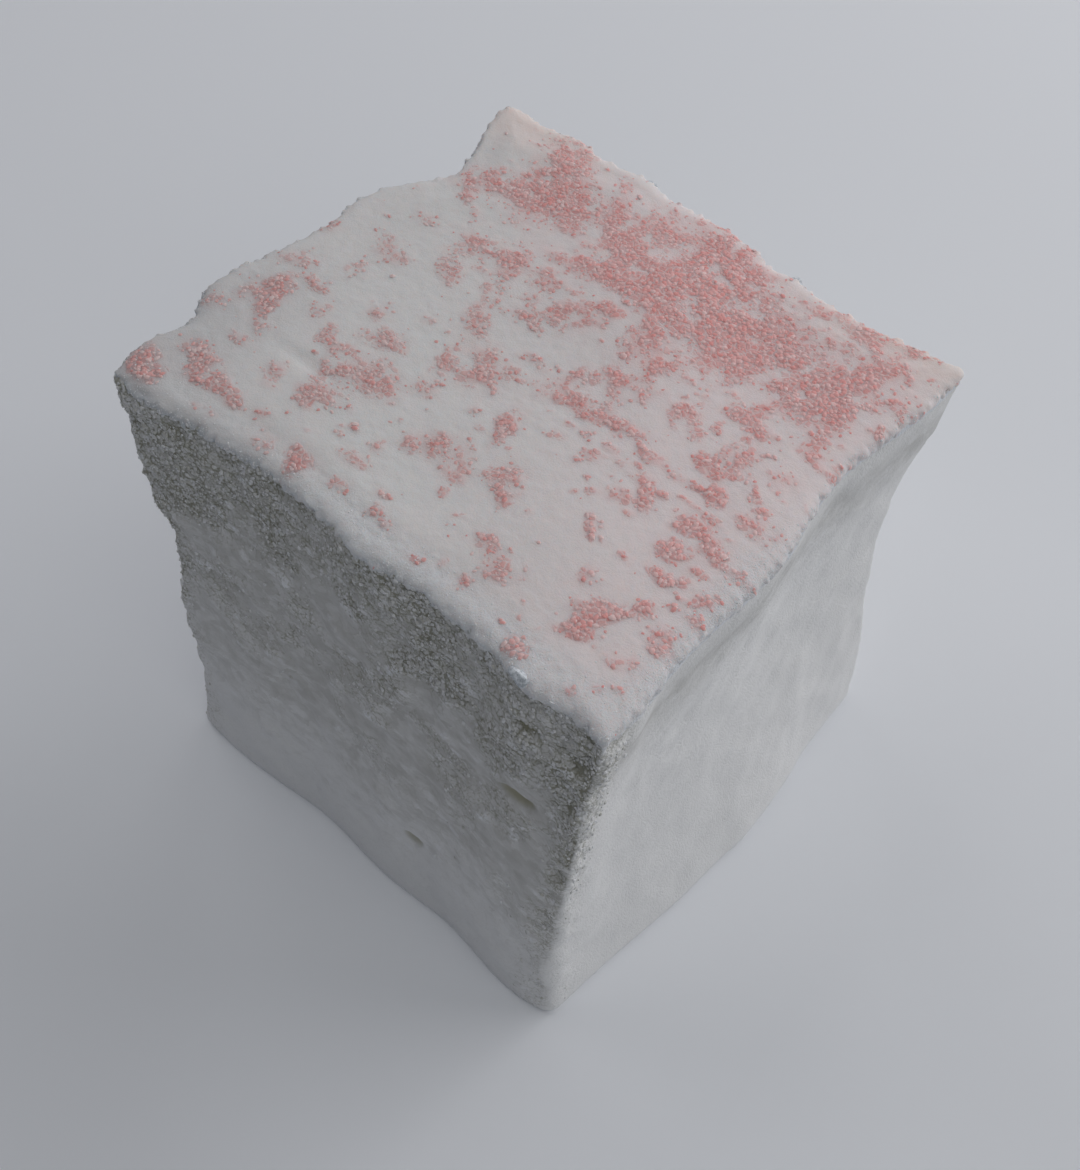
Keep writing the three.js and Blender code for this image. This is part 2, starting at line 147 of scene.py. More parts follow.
# Clumps of fruit crumb on the skin: (x, y, length, width, turn in degrees, how full it is).
BACK_BAND = (
    (-9.5, 12.4, 4.8, 2.2, -65, 0.9), (-8.7, 10.6, 2.6, 2.0, -60, 0.9), (-7.2, 10.5, 3.0, 2.2, 0, 0.8),
    (-11.2, 9.2, 3.0, 1.6, 10, 0.7), (-9.6, 9.0, 2.0, 1.0, 0, 0.7), (-6.2, 9.2, 1.6, 1.0, 0, 0.5),
    (-11.6, 6.9, 2.0, 0.7, -50, 0.7), (-12.6, 8.0, 1.6, 1.2, 0, 0.4), (-8.8, 7.6, 2.4, 1.4, 0, 0.25),
    (-5.1, 12.1, 2.8, 1.1, -60, 0.6), (-4.2, 10.8, 2.0, 1.0, -60, 0.5), (-2.3, 11.4, 3.2, 2.2, 30, 0.7),
    (-1.0, 12.4, 2.0, 1.5, 0, 0.4), (-3.0, 9.6, 2.6, 1.4, -30, 0.6), (-1.1, 9.4, 2.6, 1.8, 0, 0.8),
    (0.3, 9.2, 2.4, 1.8, -60, 0.9), (1.4, 12.7, 4.6, 2.2, -60, 0.9), (2.4, 10.6, 4.6, 3.0, -60, 1.0),
    (4.0, 9.2, 4.6, 2.6, -60, 1.0), (4.4, 11.8, 2.4, 1.6, -60, 0.6), (2.2, 13.6, 1.2, 1.0, -70, 0.7),
    (3.6, 12.9, 1.0, 0.8, -60, 0.6), (-2.9, 7.7, 3.0, 1.8, 0, 0.85), (-0.9, 7.6, 2.2, 1.4, 0, 0.8),
    (0.6, 7.4, 2.4, 1.2, -60, 0.95), (2.3, 7.2, 2.8, 1.6, -60, 0.8), (4.2, 7.5, 2.0, 1.4, -60, 0.8),
    (5.3, 6.7, 1.4, 1.0, 0, 0.6), (2.2, 5.9, 1.6, 1.0, 0, 0.6), (6.8, 7.1, 2.4, 1.8, 70, 0.8),
    (6.5, 9.4, 2.6, 2.0, -60, 0.75), (7.9, 9.5, 2.4, 1.6, 10, 0.75), (6.6, 11.0, 2.4, 1.4, 0, 0.5),
    (8.9, 8.6, 1.4, 1.0, 0, 0.5), (11.2, 7.9, 3.4, 3.0, 60, 0.85), (9.8, 7.2, 1.6, 1.6, 0, 0.6),
    (12.3, 7.0, 1.4, 1.2, 0, 0.6), (11.9, 9.6, 2.2, 1.8, 70, 0.75), (12.7, 11.1, 3.0, 1.5, 70, 0.75),
    (10.6, 9.6, 1.6, 1.2, 0, 0.5), (9.6, 11.4, 3.0, 1.2, 20, 0.4), (10.7, 13.2, 1.8, 1.2, -60, 0.6),
    (8.2, 13.1, 2.6, 0.9, 15, 0.45), (9.6, 13.3, 1.2, 0.8, 0, 0.5), (12.5, 13.8, 1.6, 0.8, 20, 0.5),
    (14.7, 9.8, 1.4, 1.1, 20, 0.55), (14.5, 10.9, 1.0, 0.8, 0, 0.3), (0.8, 13.2, 1.4, 0.8, -60, 0.8),
    (-0.3, 14.2, 2.4, 0.8, 0, 0.35), (4.8, 13.4, 1.0, 0.6, 0, 0.3), (-2.9, 13.2, 1.6, 1.4, 0, 0.35),
)
MIDDLE_CLUMPS = (
    (-8.5, 4.8, 2.4, 1.8, 20, 0.6), (-9.3, 4.2, 1.2, 1.4, 0, 0.4), (-6.6, 5.1, 1.6, 1.4, 0, 0.7),
    (-6.1, 3.9, 2.4, 1.0, -75, 0.65), (-7.2, 3.0, 0.8, 0.6, 0, 0.4), (-8.6, 2.2, 2.4, 1.1, -50, 0.55),
    (-5.7, 1.9, 1.4, 1.0, -60, 0.5), (-5.1, 0.2, 1.7, 1.2, -60, 0.55), (-3.4, 1.8, 1.6, 0.6, 10, 0.5),
    (-4.0, 5.0, 1.8, 1.2, -10, 0.6), (-4.8, 6.7, 2.0, 0.8, 0, 0.6), (-1.0, 4.7, 2.2, 1.1, 30, 0.7),
    (-0.4, 4.8, 1.0, 1.2, -60, 0.8), (-2.2, 3.3, 2.4, 1.5, 35, 0.6), (-4.3, 3.3, 0.9, 0.7, 0, 0.3),
    (2.5, 4.6, 2.0, 1.5, 70, 0.7), (4.2, 4.2, 2.2, 1.0, 80, 0.8), (3.4, 5.4, 1.4, 0.9, 0, 0.6),
    (6.0, 4.7, 1.2, 1.0, 0, 0.45), (7.6, 5.0, 0.6, 0.6, 0, 0.4), (5.0, 2.6, 0.8, 0.6, 0, 0.4),
    (1.6, 1.0, 2.0, 0.9, 65, 0.8), (2.9, 1.9, 1.6, 0.8, 10, 0.8), (3.5, 1.0, 1.8, 0.7, -55, 0.7),
    (4.6, 1.7, 1.0, 0.9, 0, 0.6), (2.6, -0.5, 2.8, 0.9, -5, 0.85), (1.7, -1.1, 1.0, 0.4, 0, 0.7),
    (5.2, -0.5, 2.1, 0.9, 10, 0.85), (3.3, -1.2, 1.2, 0.4, 0, 0.6), (6.9, 2.4, 1.2, 1.1, 30, 0.75),
    (7.6, 2.2, 0.7, 0.6, 0, 0.4), (8.3, 1.8, 0.6, 0.6, 0, 0.5), (9.1, 4.0, 1.4, 0.9, 10, 0.7),
    (9.4, 4.9, 1.6, 0.9, 60, 0.6), (10.8, 3.6, 1.4, 0.7, -30, 0.5), (10.2, 2.6, 1.6, 0.5, -80, 0.5),
    (12.9, 4.8, 1.5, 1.2, -50, 0.6), (13.4, 4.1, 0.7, 0.5, 0, 0.5), (14.4, 3.9, 0.6, 0.5, 0, 0.5),
    (10.7, 1.3, 1.6, 1.3, 80, 0.95), (10.3, 0.3, 1.2, 0.8, 0, 0.7), (9.3, 0.7, 0.8, 0.7, 0, 0.5),
    (12.2, 0.5, 0.8, 0.5, -60, 0.5), (13.2, 1.8, 1.0, 0.9, 0, 0.45), (9.6, -1.1, 2.0, 0.6, 0, 0.8),
    (11.0, -0.9, 1.5, 0.8, -20, 0.85), (7.4, -1.1, 1.1, 0.7, 0, 0.6), (13.7, -1.2, 1.3, 1.1, -60, 0.5),
    (12.0, -2.3, 1.1, 0.5, 0, 0.5), (10.8, -2.2, 1.0, 0.4, 0, 0.4), (-3.1, -1.3, 1.5, 1.0, 0, 0.65),
    (-1.3, -1.2, 0.9, 0.7, 0, 0.4), (0.4, -1.2, 1.3, 0.9, 0, 0.35), (-1.2, -0.1, 1.0, 0.4, 0, 0.5),
)
FRONT_CLUMPS = (
    (8.5, -3.1, 1.6, 0.8, -50, 0.95), (7.0, -2.6, 1.4, 0.6, 0, 0.5), (7.5, -4.1, 1.0, 0.7, 0, 0.95),
    (6.7, -4.7, 0.6, 0.6, 0, 0.7), (8.8, -4.6, 0.6, 0.4, 0, 0.5), (5.2, -3.1, 0.9, 0.5, -30, 0.6),
    (4.9, -3.8, 0.5, 0.3, 0, 0.5), (2.9, -3.0, 0.6, 0.5, 0, 0.4), (5.5, -2.1, 0.9, 0.6, 0, 0.5),
    (4.1, -2.2, 0.7, 0.5, 0, 0.5), (3.2, -2.2, 0.5, 0.4, 0, 0.4), (12.0, -3.3, 1.6, 0.7, -10, 0.8),
    (12.9, -4.0, 1.2, 0.8, -40, 0.8), (11.3, -3.7, 0.7, 0.4, 0, 0.6), (11.8, -4.9, 1.0, 0.9, 0, 1.0),
    (13.9, -4.3, 1.2, 0.4, 0, 0.5), (13.2, -5.5, 0.5, 0.4, 0, 0.6), (15.0, -4.2, 0.7, 0.4, 0, 0.5),
    (-4.3, -2.9, 1.7, 0.9, -80, 0.8), (-3.7, -3.8, 1.2, 0.5, 0, 0.6), (-2.4, -2.6, 1.8, 1.2, 20, 0.9),
    (-1.2, -2.9, 0.8, 0.6, 0, 0.5), (0.8, -3.8, 1.4, 0.6, -75, 0.85), (1.2, -4.8, 1.2, 0.5, -80, 0.7),
    (-0.9, -4.3, 0.5, 0.6, 0, 0.4), (0.2, -7.6, 2.2, 1.3, -10, 0.95), (0.7, -6.7, 1.6, 0.9, -60, 0.75),
    (1.3, -8.5, 1.0, 0.6, 0, 0.5), (3.4, -6.8, 1.6, 1.0, -50, 0.8), (3.8, -7.8, 1.0, 0.5, -40, 0.75),
    (2.8, -7.2, 0.8, 0.9, 0, 0.6), (-1.6, -8.3, 0.8, 0.9, -60, 0.55), (-2.7, -10.7, 0.7, 0.9, -60, 0.6),
    (-2.5, -9.5, 0.6, 0.5, 0, 0.5), (-0.3, -11.4, 0.7, 0.5, 0, 0.5), (3.1, -10.0, 0.5, 0.3, 0, 0.5),
    (-2.6, -12.3, 1.0, 0.5, 0, 0.5), (0.4, -12.5, 0.7, 0.5, 0, 0.5), (1.3, -12.7, 0.6, 0.4, 0, 0.6),
    (4.3, -12.5, 0.5, 0.4, 0, 0.5), (5.2, -10.5, 1.1, 0.7, -20, 0.7), (6.6, -11.2, 1.1, 1.1, 0, 0.65),
    (5.9, -12.6, 0.6, 0.6, 0, 0.8), (11.3, -10.5, 1.8, 0.9, 80, 0.9), (11.3, -11.4, 1.2, 0.6, 30, 0.85),
    (11.9, -9.5, 1.2, 0.6, 60, 0.85), (12.4, -8.4, 1.0, 0.5, 40, 0.85), (10.7, -10.0, 0.8, 0.7, 0, 0.6),
    (13.8, -11.3, 1.1, 0.6, 10, 0.9), (13.2, -11.5, 0.6, 0.4, 0, 0.6), (14.4, -12.6, 0.6, 0.3, 0, 0.5),
    (14.4, -9.0, 0.9, 0.6, 0, 0.75), (14.8, -9.7, 1.0, 0.5, 0, 0.7), (14.6, -7.7, 0.8, 0.5, 0, 0.75),
    (14.2, -6.6, 0.7, 1.0, -60, 0.7), (12.1, -6.5, 0.9, 0.5, 0, 0.85), (12.9, -6.2, 0.5, 0.4, 0, 0.7),
    (10.2, -6.7, 0.4, 0.5, 0, 0.7), (10.0, -8.8, 0.8, 0.8, 0, 0.6), (8.3, -6.8, 0.7, 0.5, -40, 0.9),
    (7.9, -6.2, 0.5, 0.5, 0, 0.7), (9.9, -13.4, 1.0, 0.7, 0, 0.9), (13.0, -13.9, 0.5, 0.4, 0, 0.6),
)
LEFT_CLUMPS = (
    (-7.3, -4.0, 1.8, 1.0, 0, 0.85), (-7.6, -4.8, 1.2, 0.6, 0, 0.4), (-7.7, -7.4, 1.2, 0.8, 0, 1.0),
    (-8.5, -6.2, 1.6, 0.9, 0, 0.6), (-6.9, -6.8, 1.6, 1.4, 0, 0.6), (-5.5, -6.1, 1.6, 1.1, -20, 0.75),
    (-5.0, -7.0, 1.4, 1.0, 0, 0.65), (-6.1, -7.9, 1.6, 0.7, 0, 0.5), (-9.8, -5.8, 1.1, 0.9, 0, 0.55),
    (-3.7, -5.3, 0.9, 0.9, 0, 0.5), (-14.3, -5.0, 1.6, 1.2, -60, 0.9), (-13.8, -6.2, 2.2, 1.3, -55, 0.8),
    (-12.5, -7.6, 1.6, 0.7, -55, 0.4), (-15.3, -6.3, 1.0, 0.9, 0, 0.4), (-13.1, -3.7, 1.3, 0.7, 0, 0.7),
    (-15.2, -2.8, 1.6, 0.9, 10, 0.5), (-15.9, -7.9, 1.2, 1.0, 0, 0.4), (-12.4, 1.1, 1.4, 1.2, -60, 0.4),
    (-11.2, 0.9, 1.0, 1.2, -50, 0.45), (-12.5, -1.5, 1.0, 1.0, 0, 0.35), (-15.7, 0.3, 1.2, 1.2, 0, 0.4),
    (-12.2, 4.1, 1.4, 0.8, 0, 0.25), (-9.1, -2.8, 0.7, 1.2, 0, 0.25), (-6.9, -1.3, 0.8, 0.5, 0, 0.3),
    (-11.4, -5.0, 0.9, 1.1, 0, 0.35), (-7.0, -9.2, 1.5, 1.3, -20, 0.9), (-7.0, -10.2, 0.9, 0.4, 0, 0.6),
    (-9.5, -9.4, 0.9, 0.7, 0, 0.6), (-9.3, -10.3, 0.7, 0.5, 0, 0.9), (-12.7, -9.1, 1.2, 0.6, 0, 0.45),
    (-14.2, -10.7, 1.0, 0.5, 0, 0.35), (-13.2, -11.5, 2.2, 1.0, -10, 0.9), (-12.1, -12.2, 1.6, 0.7, 0, 0.8),
    (-10.9, -11.7, 1.6, 0.8, 0, 0.7), (-9.9, -12.1, 1.0, 0.5, 0, 0.6), (-8.4, -11.8, 0.7, 0.5, 0, 0.55),
    (-15.3, -13.1, 1.6, 1.0, -30, 0.9), (-14.8, -13.8, 1.8, 0.9, -20, 0.9), (-14.0, -13.3, 0.8, 0.6, 0, 0.5),
    (-10.6, -13.5, 1.0, 0.5, 0, 0.4), (-7.2, -13.1, 1.3, 0.8, 0, 0.7), (-4.6, -12.8, 1.0, 1.1, -60, 0.9),
    (-5.1, -12.3, 0.6, 0.4, 0, 0.7),
)

# Crumbs that stand out from the rim: centre in plan, how far it is below the skin, size along x, y
# and z, and the angle in degrees by which it is turned down about y.
RIM_CRUMBS = (
    (11.0, -14.75, 0.1, 1.1, 0.5, 0.6, 37), (-5.5, 15.3, 0.5, 1.1, 0.8, 0.6, 0),
    (5.2, 14.4, 0.5, 0.7, 0.8, 0.5, 0),
)
RIM_CRUMB_LUMPS, RIM_CRUMB_GRAIN = (0.9, 1.0), (0.4, 0.5)  # (size, height) on a ball of radius 1

# The powder coat: a slab over the foam, turned down over the rim.
COAT_DEPTH = 1.3  # how far below the skin its hidden underside is
COAT_TUCK = 1.3  # how far in from the rim its underside's edge is
COAT_STANDS_OUT = 0.03  # how far it stands out from the cut sides
HEM_DROP = (0.0, 0.4)  # least and greatest depth of its edge below the rim's rounding
HEM_REACH = 1.0  # how far below the hem's upper ring its lower one is
HEM_LOBES, HEM_TUFTS, HEM_FRAY = (1.7, 0.8), (0.45, 1.1), (0.22, 1.0)  # (size across, share of drop)
HEM_STEPS = ((1.0, 0.0), (0.85, 0.7), (0.45, 1.0), (0.0, 1.0))  # shares of its drop and stand-out
FOAM_BELOW_COAT = 0.16  # how far below the coat's face the foam's rim is
FOAM_TUCK = COAT_TUCK + 0.2  # how far in from the rim the foam's hidden top edge is

# ---------------------------------------------------------------------------------------------
# Fineness of the meshes
# ---------------------------------------------------------------------------------------------
CORNER_STEPS = 8  # steps round a corner, an even number
FOAM_FACE_STEPS = 172  # steps along a side between its rounded corners
FOAM_ROWS = 124  # rows up a side
ROW_CROWDING = 0.45  # how much closer together they are towards the rim
BASE_ROWS = 4  # rows in the base's rounding
RIM_ROWS = 5  # rows in the foam's rim
COAT_FACE_STEPS = 284  # steps along a side of the coat
COAT_RIM_ROWS = 9  # rows in the coat's rim

# Loose grains, as (how many, smallest and largest size across), and their forms, as (thickness as a
# share of the size, share of the thickness that is sunk in, roughness).
FRUIT_CRUMB, FRUIT_FORM = (5400, 0.19, 0.44), (0.34, 0.7, 0.18)
FOAM_CRUMB, FOAM_FORM = (9500, 0.08, 0.26), (0.7, 0.4, 0.3)
SUGAR_DUST, DUST_FORM = (9800, 0.06, 0.15), (0.4, 0.7, 0.25)
CRUMB_SPACING = 0.22  # least distance between crumbs of fruit, about
CRUMB_TRIES = 12  # places drawn at random for each crumb that is wanted
CRUMB_EDGE = (1.15, 0.9)  # how far a clump's crumbs spread past its outline, and how gradually
SPECKS = (800, 0.22, 0.55)  # small stained spots scattered over the skin
SPECK_SEED, FRUIT_SEED, FOAM_SEED, DUST_SEED = 5, 11, 23, 37  # for what is placed at random

# Noise that should not follow the sides is turned about x and z, and its points are shifted.
SKEW = np.array(Matrix.Rotation(math.radians(37), 3, "X") @ Matrix.Rotation(math.radians(29), 3, "Z"))
WANDER, WANDER_SIZE = 1.8, 1.7  # how far they are shifted, and over what distance that changes

# ---------------------------------------------------------------------------------------------
# Colours
# ---------------------------------------------------------------------------------------------
# Colours that are laid over each other.
# The two foam greys are the ends of the foam's lightness, which carries painted light and shade as well as
# its own mottle.
DARKER_FOAM, LIGHTER_FOAM = (0.55, 0.545, 0.53, 1), (0.82, 0.82, 0.825, 1)
# The starch white and the side powder are also painted light just under the right side's rim.
STARCH_AND_PAINTED_LIGHT, SIDE_POWDER_AND_PAINTED_LIGHT = (0.92, 0.92, 0.92, 1), (0.80, 0.82, 0.86, 1)
# The light bluish foam also paints highlights on knobs; the olive and the syrup colours also paint shade in
# crevices and pits.
PALE_FOAM_AND_HIGHLIGHT, OLIVE_GAP_AND_SHADE, SYRUP_AND_SHADE = (0.90, 0.915, 0.95, 1), (0.25, 0.245, 0.17, 1), (0.44, 0.42, 0.30, 1)
WHITE_SKIN, PINK_SKIN, WARM_SKIN = (0.79, 0.775, 0.77, 1), (0.94, 0.82, 0.82, 1), (0.90, 0.775, 0.74, 1)
# The bluish edge colour is painted shade on the rim, where the coat turns down.
FROST, BLUISH_RIM_SHADE = (0.86, 0.865, 0.89, 1), (0.72, 0.745, 0.78, 1)
# The dusty rose is dust on the fruit crumbs and also a painted highlight round their borders.
DUST_AND_HIGHLIGHT_ROSE = (0.96, 0.86, 0.85, 1)
DULL_CRUMB, CLEAN_CRUMB = (0.56, 0.555, 0.52, 1), (0.82, 0.825, 0.85, 1)
THIN_SUGAR, THICK_SUGAR = (0.82, 0.825, 0.84, 1), (0.89, 0.895, 0.92, 1)
CLEAR_FLAKE, CLOUDY_FLAKE = (0.42, 0.46, 0.50, 1), (0.84, 0.88, 0.93, 1)
PALE_FLOOR = (0.88, 0.90, 0.94, 1)

# Dyes, which multiply the colour below them.
# The first dye is painted shade, for the skin by the left corner and the front-left rim.
PAINTED_SHADE_DYE, FAINT_STAIN = (0.86, 0.87, 0.88, 1), (0.99, 0.895, 0.89, 1)
PINK_STAIN, DEEP_STAIN = (1.0, 0.80, 0.79, 1), (0.98, 0.54, 0.51, 1)
ROSE, RED = (1.0, 0.80, 0.785, 1), (0.97, 0.56, 0.54, 1)

# Which of a Mix node's sockets are the ones for colours, several having the same name.
MIX_SHARE, MIX_BELOW, MIX_ABOVE, MIX_RESULT = 0, 6, 7, 2

# ---------------------------------------------------------------------------------------------
# Floor, lights and camera
# ---------------------------------------------------------------------------------------------
FLOOR_HALF = 2.0  # half its side, in metres

# The camera, in degrees and millimetres: how far it stands round to the right of the front, how
# high it stands, how far it is rolled, what it looks at and from how far.
CAMERA_ROUND, CAMERA_RISE, CAMERA_ROLL = 37.82, 53.54, 3.60
CAMERA_AIM, CAMERA_DISTANCE = Vector((0.93, -0.79, 15.0)), 83.61
LENS, SENSOR_WIDTH = 43.54, 36.0
NEAREST, FARTHEST = 0.002, 10.0  # what the camera shows, in metres

# Soft lights: name, place and size in millimetres, watts, and colour.
LIGHTS = (
    ("key", (153, 265, 170), 320, 0.475, (1.0, 0.985, 0.985)),
    ("back", (-53, 301, 170), 320, 0.25, (1.0, 1.0, 1.0)),
    ("right_fill", (186, -89, 269), 300, 0.243, (1.0, 1.0, 0.97)),
    ("left_fill", (-212, 0, 269), 300, 0.26, (1.0, 0.985, 0.99)),
)
SKY, SKY_STRENGTH = (0.4, 0.6, 1.0, 1), 0.034


# ---------------------------------------------------------------------------------------------
# Curves and noise
# ---------------------------------------------------------------------------------------------
def mix(a, b, t):
    """The value at t on the way from a to b."""
    return a + (b - a) * t


def smooth(t):
    """An S-curve from 0 to 1: 3 t squared less 2 t cubed."""
    return t * t * (3 - 2 * t)


def ramp(value, start, end):
    """0 before start, 1 after end, and an S-curve between."""
    return smooth(np.clip((value - start) / (end - start), 0, 1))


def curve_through(stations):
    """A smooth curve through (position, value) stations: a cubic on each stretch, whose slope at a
    station is the mean of the straight slopes beside it."""
    place, value = np.array(stations, float).T
    run = np.diff(place)
    straight = np.diff(value) / run
    slope = np.concatenate([straight[:1], (straight[1:] + straight[:-1]) / 2, straight[-1:]])

    def curve(position):
        n = np.clip(np.searchsorted(place, position, side="right") - 1, 0, len(run) - 1)
        t = np.clip((position - place[n]) / run[n], 0, 1)
        rise = smooth(t)
        bend = t * (1 - t) * ((1 - t) * slope[n] - t * slope[n + 1]) * run[n]
        return mix(value[n], value[n + 1], rise) + bend

    return curve


def cell_value(i, j, k):
    """A repeatable random number from 0 to 1 for a cell: the fraction left of a large sine."""
    wave = np.sin(i * 127.1 + j * 311.7 + k * 74.7) * 43758.5453
    return wave - np.floor(wave)


def noise(points, size):
    """Smooth noise from -0.5 to 0.5: random values at the corners of cells of that size, blended
    between the corners with an S-curve along each axis."""
    place = points / size
    cell = np.floor(place)
    t = smooth(place - cell)
    total = np.zeros(points.shape[:-1])
    for corner in np.ndindex(2, 2, 2):
        weight = np.prod(np.where(corner, t, 1 - t), axis=-1)
        total += weight * cell_value(*np.moveaxis(cell + corner, -1, 0))
    return total - 0.5


def wandering(points):
    """Points turned about x and z and shifted by noise, for noise that should not follow the sides."""
    shift = np.stack([noise(points + apart, WANDER_SIZE) for apart in (0.0, 31.0, 57.0)], axis=-1)
    return (points + WANDER * shift) @ SKEW


def relief(points, layer):
    """Noise of a layer's size, times its height."""
    size, height = layer
    return height * noise(points, size)


CORNER_PATHS = [
    [curve_through([(z, place[axis]) for z, place in zip(CORNER_HEIGHTS, places)]) for axis in (0, 1)]
    for places in CORNERS
]
RIM_CURVES = [curve_through(wave) for wave in RIM_WAVE]
BASE_CURVES = [curve_through(wave) for wave in BASE_WAVE]


# ---------------------------------------------------------------------------------------------
# The body
# ---------------------------------------------------------------------------------------------
def corner_at(n, z):
    """Where upright corner n is, in plan, at heights z."""
    return np.stack([path(z) for path in CORNER_PATHS[n % 4]], axis=-1)


def side_point(side, u, z):
    """A side's plan at fraction u along it and height z: on the line between its two corners, moved
    out by the rim's wave and the base's wave, each of which dies out as the square of the height,
    pulled in by the pinch, 4u(1-u) times 4v(1-v), and roughened by lumps and crags."""
    u, z = np.broadcast_arrays(u, z)
    start = corner_at(side, z)
    run = corner_at(side + 1, z) - start
    out = np.stack([run[..., 1], -run[..., 0]], axis=-1)
    out = out / np.linalg.norm(out, axis=-1, keepdims=True)
    up = z / HEIGHT
    rim = RIM_CURVES[side](u * RIM_WAVE[side][-1][0])
    base = BASE_CURVES[side](u * BASE_WAVE[side][-1][0])
    wave = base * (1 - up) ** 2 + rim * up**2
    pinch = PINCH * 4 * u * (1 - u) * 4 * up * (1 - up)
    point = start + run * u[..., None]
    spot = np.concatenate([point, z[..., None]], axis=-1)
    fade = np.clip(np.minimum(z, HEIGHT - z) / RELIEF_FADE, 0, 1)
    torn = SIDE_SHARES[side] * (relief(spot, LUMPS) + relief(spot, CRAGS))
    return point + out * (wave - pinch + torn * fade)[..., None]


def rings_at(z, face_steps):
    """Rings round the cube at heights z, as rows of plan points: along each side in even steps, and
    round each corner on a quadratic curve (1-t)^2 a + 2t(1-t) b + t^2 c about the corner b."""
    z = z[:, None]
    reach = mix(CORNER_ROUND_BASE, CORNER_ROUND_TOP, z / HEIGHT) / SIDE
    half = CORNER_STEPS // 2
    t = (np.arange(CORNER_STEPS) / CORNER_STEPS)[None, :, None]
    rounds = [
        (1 - t) ** 2 * side_point((n + 3) % 4, 1 - reach, z)
        + 2 * t * (1 - t) * corner_at(n, z)
        + t**2 * side_point(n, reach, z)
        for n in range(4)
    ]
    along = np.arange(face_steps + 1) / face_steps
    rows = []
    for side in range(4):
        rows.append(rounds[side][:, half:])
        rows.append(side_point(side, mix(reach, 1 - reach, along), z))
        rows.append(rounds[(side + 1) % 4][:, 1:half])
    return np.concatenate(rows, axis=1)


def inset(plan, distance):
    """Rings of plan points moved in by a distance on all four sides, by shrinking them."""
    return plan * (1 - distance[..., None] / (SIDE / 2))


def stretched(plan, z):
    """Rings with their heights, stretched up to the turned-up corners."""
    height = z + ramp(z, LIFT_START, HEIGHT) * skin_lift(plan[..., 0], plan[..., 1])
    return np.concatenate([plan, height[..., None]], axis=-1)


def skin_lift(x, y):
    """How much the skin is turned up: each corner's lift times the fourth power of how near it is
    along x and along y."""
    right, left = (np.clip(0.5 + s * x / SIDE, 0, 1) ** 4 for s in (1, -1))
    back, front = (np.clip(0.5 + s * y / SIDE, 0, 1) ** 4 for s in (1, -1))
    front_left, front_right, back_right, back_left = CORNER_LIFT
    return front * (front_left * left + front_right * right) + back * (
        back_right * right + back_left * left
    )


def foam_rings():
    """Every ring of the foam from the underside's edge to just under the skin. The base's
    rounding is a quarter circle, inset r(1 - sin a) at height r(1 - cos a), and the rim's a quarter
    ellipse."""
    base_turn = np.arange(BASE_ROWS) / BASE_ROWS * math.pi / 2
    rim_turn = np.arange(1, RIM_ROWS + 1) / RIM_ROWS * math.pi / 2
    t = np.arange(FOAM_ROWS + 1) / FOAM_ROWS
    closer_to_the_top = (1 + ROW_CROWDING) * t - ROW_CROWDING * t**2
    rim = HEIGHT - FOAM_BELOW_COAT - RIM_ROUND
    z = np.concatenate([
        BASE_ROUND * (1 - np.cos(base_turn)),
        mix(BASE_ROUND, rim, closer_to_the_top),
        rim + RIM_ROUND * np.sin(rim_turn),
        [HEIGHT - COAT_DEPTH / 2],
    ])
    distance = np.concatenate([
        BASE_ROUND * (1 - np.sin(base_turn)),
        np.zeros(FOAM_ROWS + 1),
        RIM_ROUND_IN * (1 - np.cos(rim_turn)),
        [FOAM_TUCK],
    ])
    plan = inset(rings_at(z, FOAM_FACE_STEPS), distance[:, None])
    return stretched(plan, np.broadcast_to(z[:, None], plan.shape[:2]))


def ring_walls(rings, across):
    """Quads between rings, each ring having across points."""
    low = np.arange((rings - 1) * across).reshape(-1, across)
    following = np.roll(low, -1, axis=1)
    return np.stack([low, following, following + across, low + across], axis=-1).reshape(-1, 4)


def foam_mesh():
    """The foam as points, quads and triangles: rings up the walls, and a fan at each end."""
    rings = foam_rings()
    count, across = rings.shape[:2]
    ends = [[0, 0, 0], [0, 0, HEIGHT - COAT_DEPTH / 2]]
    points = np.concatenate([rings.reshape(-1, 3), ends])
    first, last = np.arange(across), (count - 1) * across + np.arange(across)
    under = np.stack([np.full(across, count * across), np.roll(first, -1), first], axis=-1)
    over = np.stack([np.full(across, count * across + 1), last, np.roll(last, -1)], axis=-1)
    return points, ring_walls(count, across), np.concatenate([under, over])


def coat_rings():
    """The powder coat's rings, from its hidden underside out to its ragged hem on the walls, up,
    and over the rim's rounding. The hem lies between two level rings, as low as noise says."""
    rim = HEIGHT - RIM_ROUND
    low, high = rings_at(np.array([rim - HEM_REACH, rim]), COAT_FACE_STEPS)
    spot = np.concatenate([high, np.full((len(high), 1), rim)], axis=-1)
    rags = 0.35 + relief(spot, HEM_LOBES) + relief(spot, HEM_TUFTS) + relief(spot, HEM_FRAY)
    drop = mix(*HEM_DROP, np.clip(rags, 0, 1))
    turn = np.arange(1, COAT_RIM_ROWS + 1) / COAT_RIM_ROWS * math.pi / 2
    plans, heights, distances = [], [], []
    for down, out in HEM_STEPS:
        plans.append(mix(high, low, (drop * down)[:, None]))
        heights.append(rim - drop * down)
        distances.append(np.full(len(high), -COAT_STANDS_OUT * out))
    plans += list(rings_at(rim + RIM_ROUND * np.sin(turn), COAT_FACE_STEPS))
    heights += [np.full(len(high), rim + RIM_ROUND * math.sin(a)) for a in turn]
    distances += [
        np.full(len(high), RIM_ROUND_IN * (1 - math.cos(a)) - COAT_STANDS_OUT * math.cos(a))
        for a in turn]
    tucked = inset(high[None], np.array([[COAT_TUCK]]))[0]
    tucked = np.concatenate([tucked, np.full((len(high), 1), HEIGHT - COAT_DEPTH)], axis=-1)
    outer = stretched(inset(np.array(plans), np.array(distances)), np.array(heights))
    return np.concatenate([tucked[None], outer])


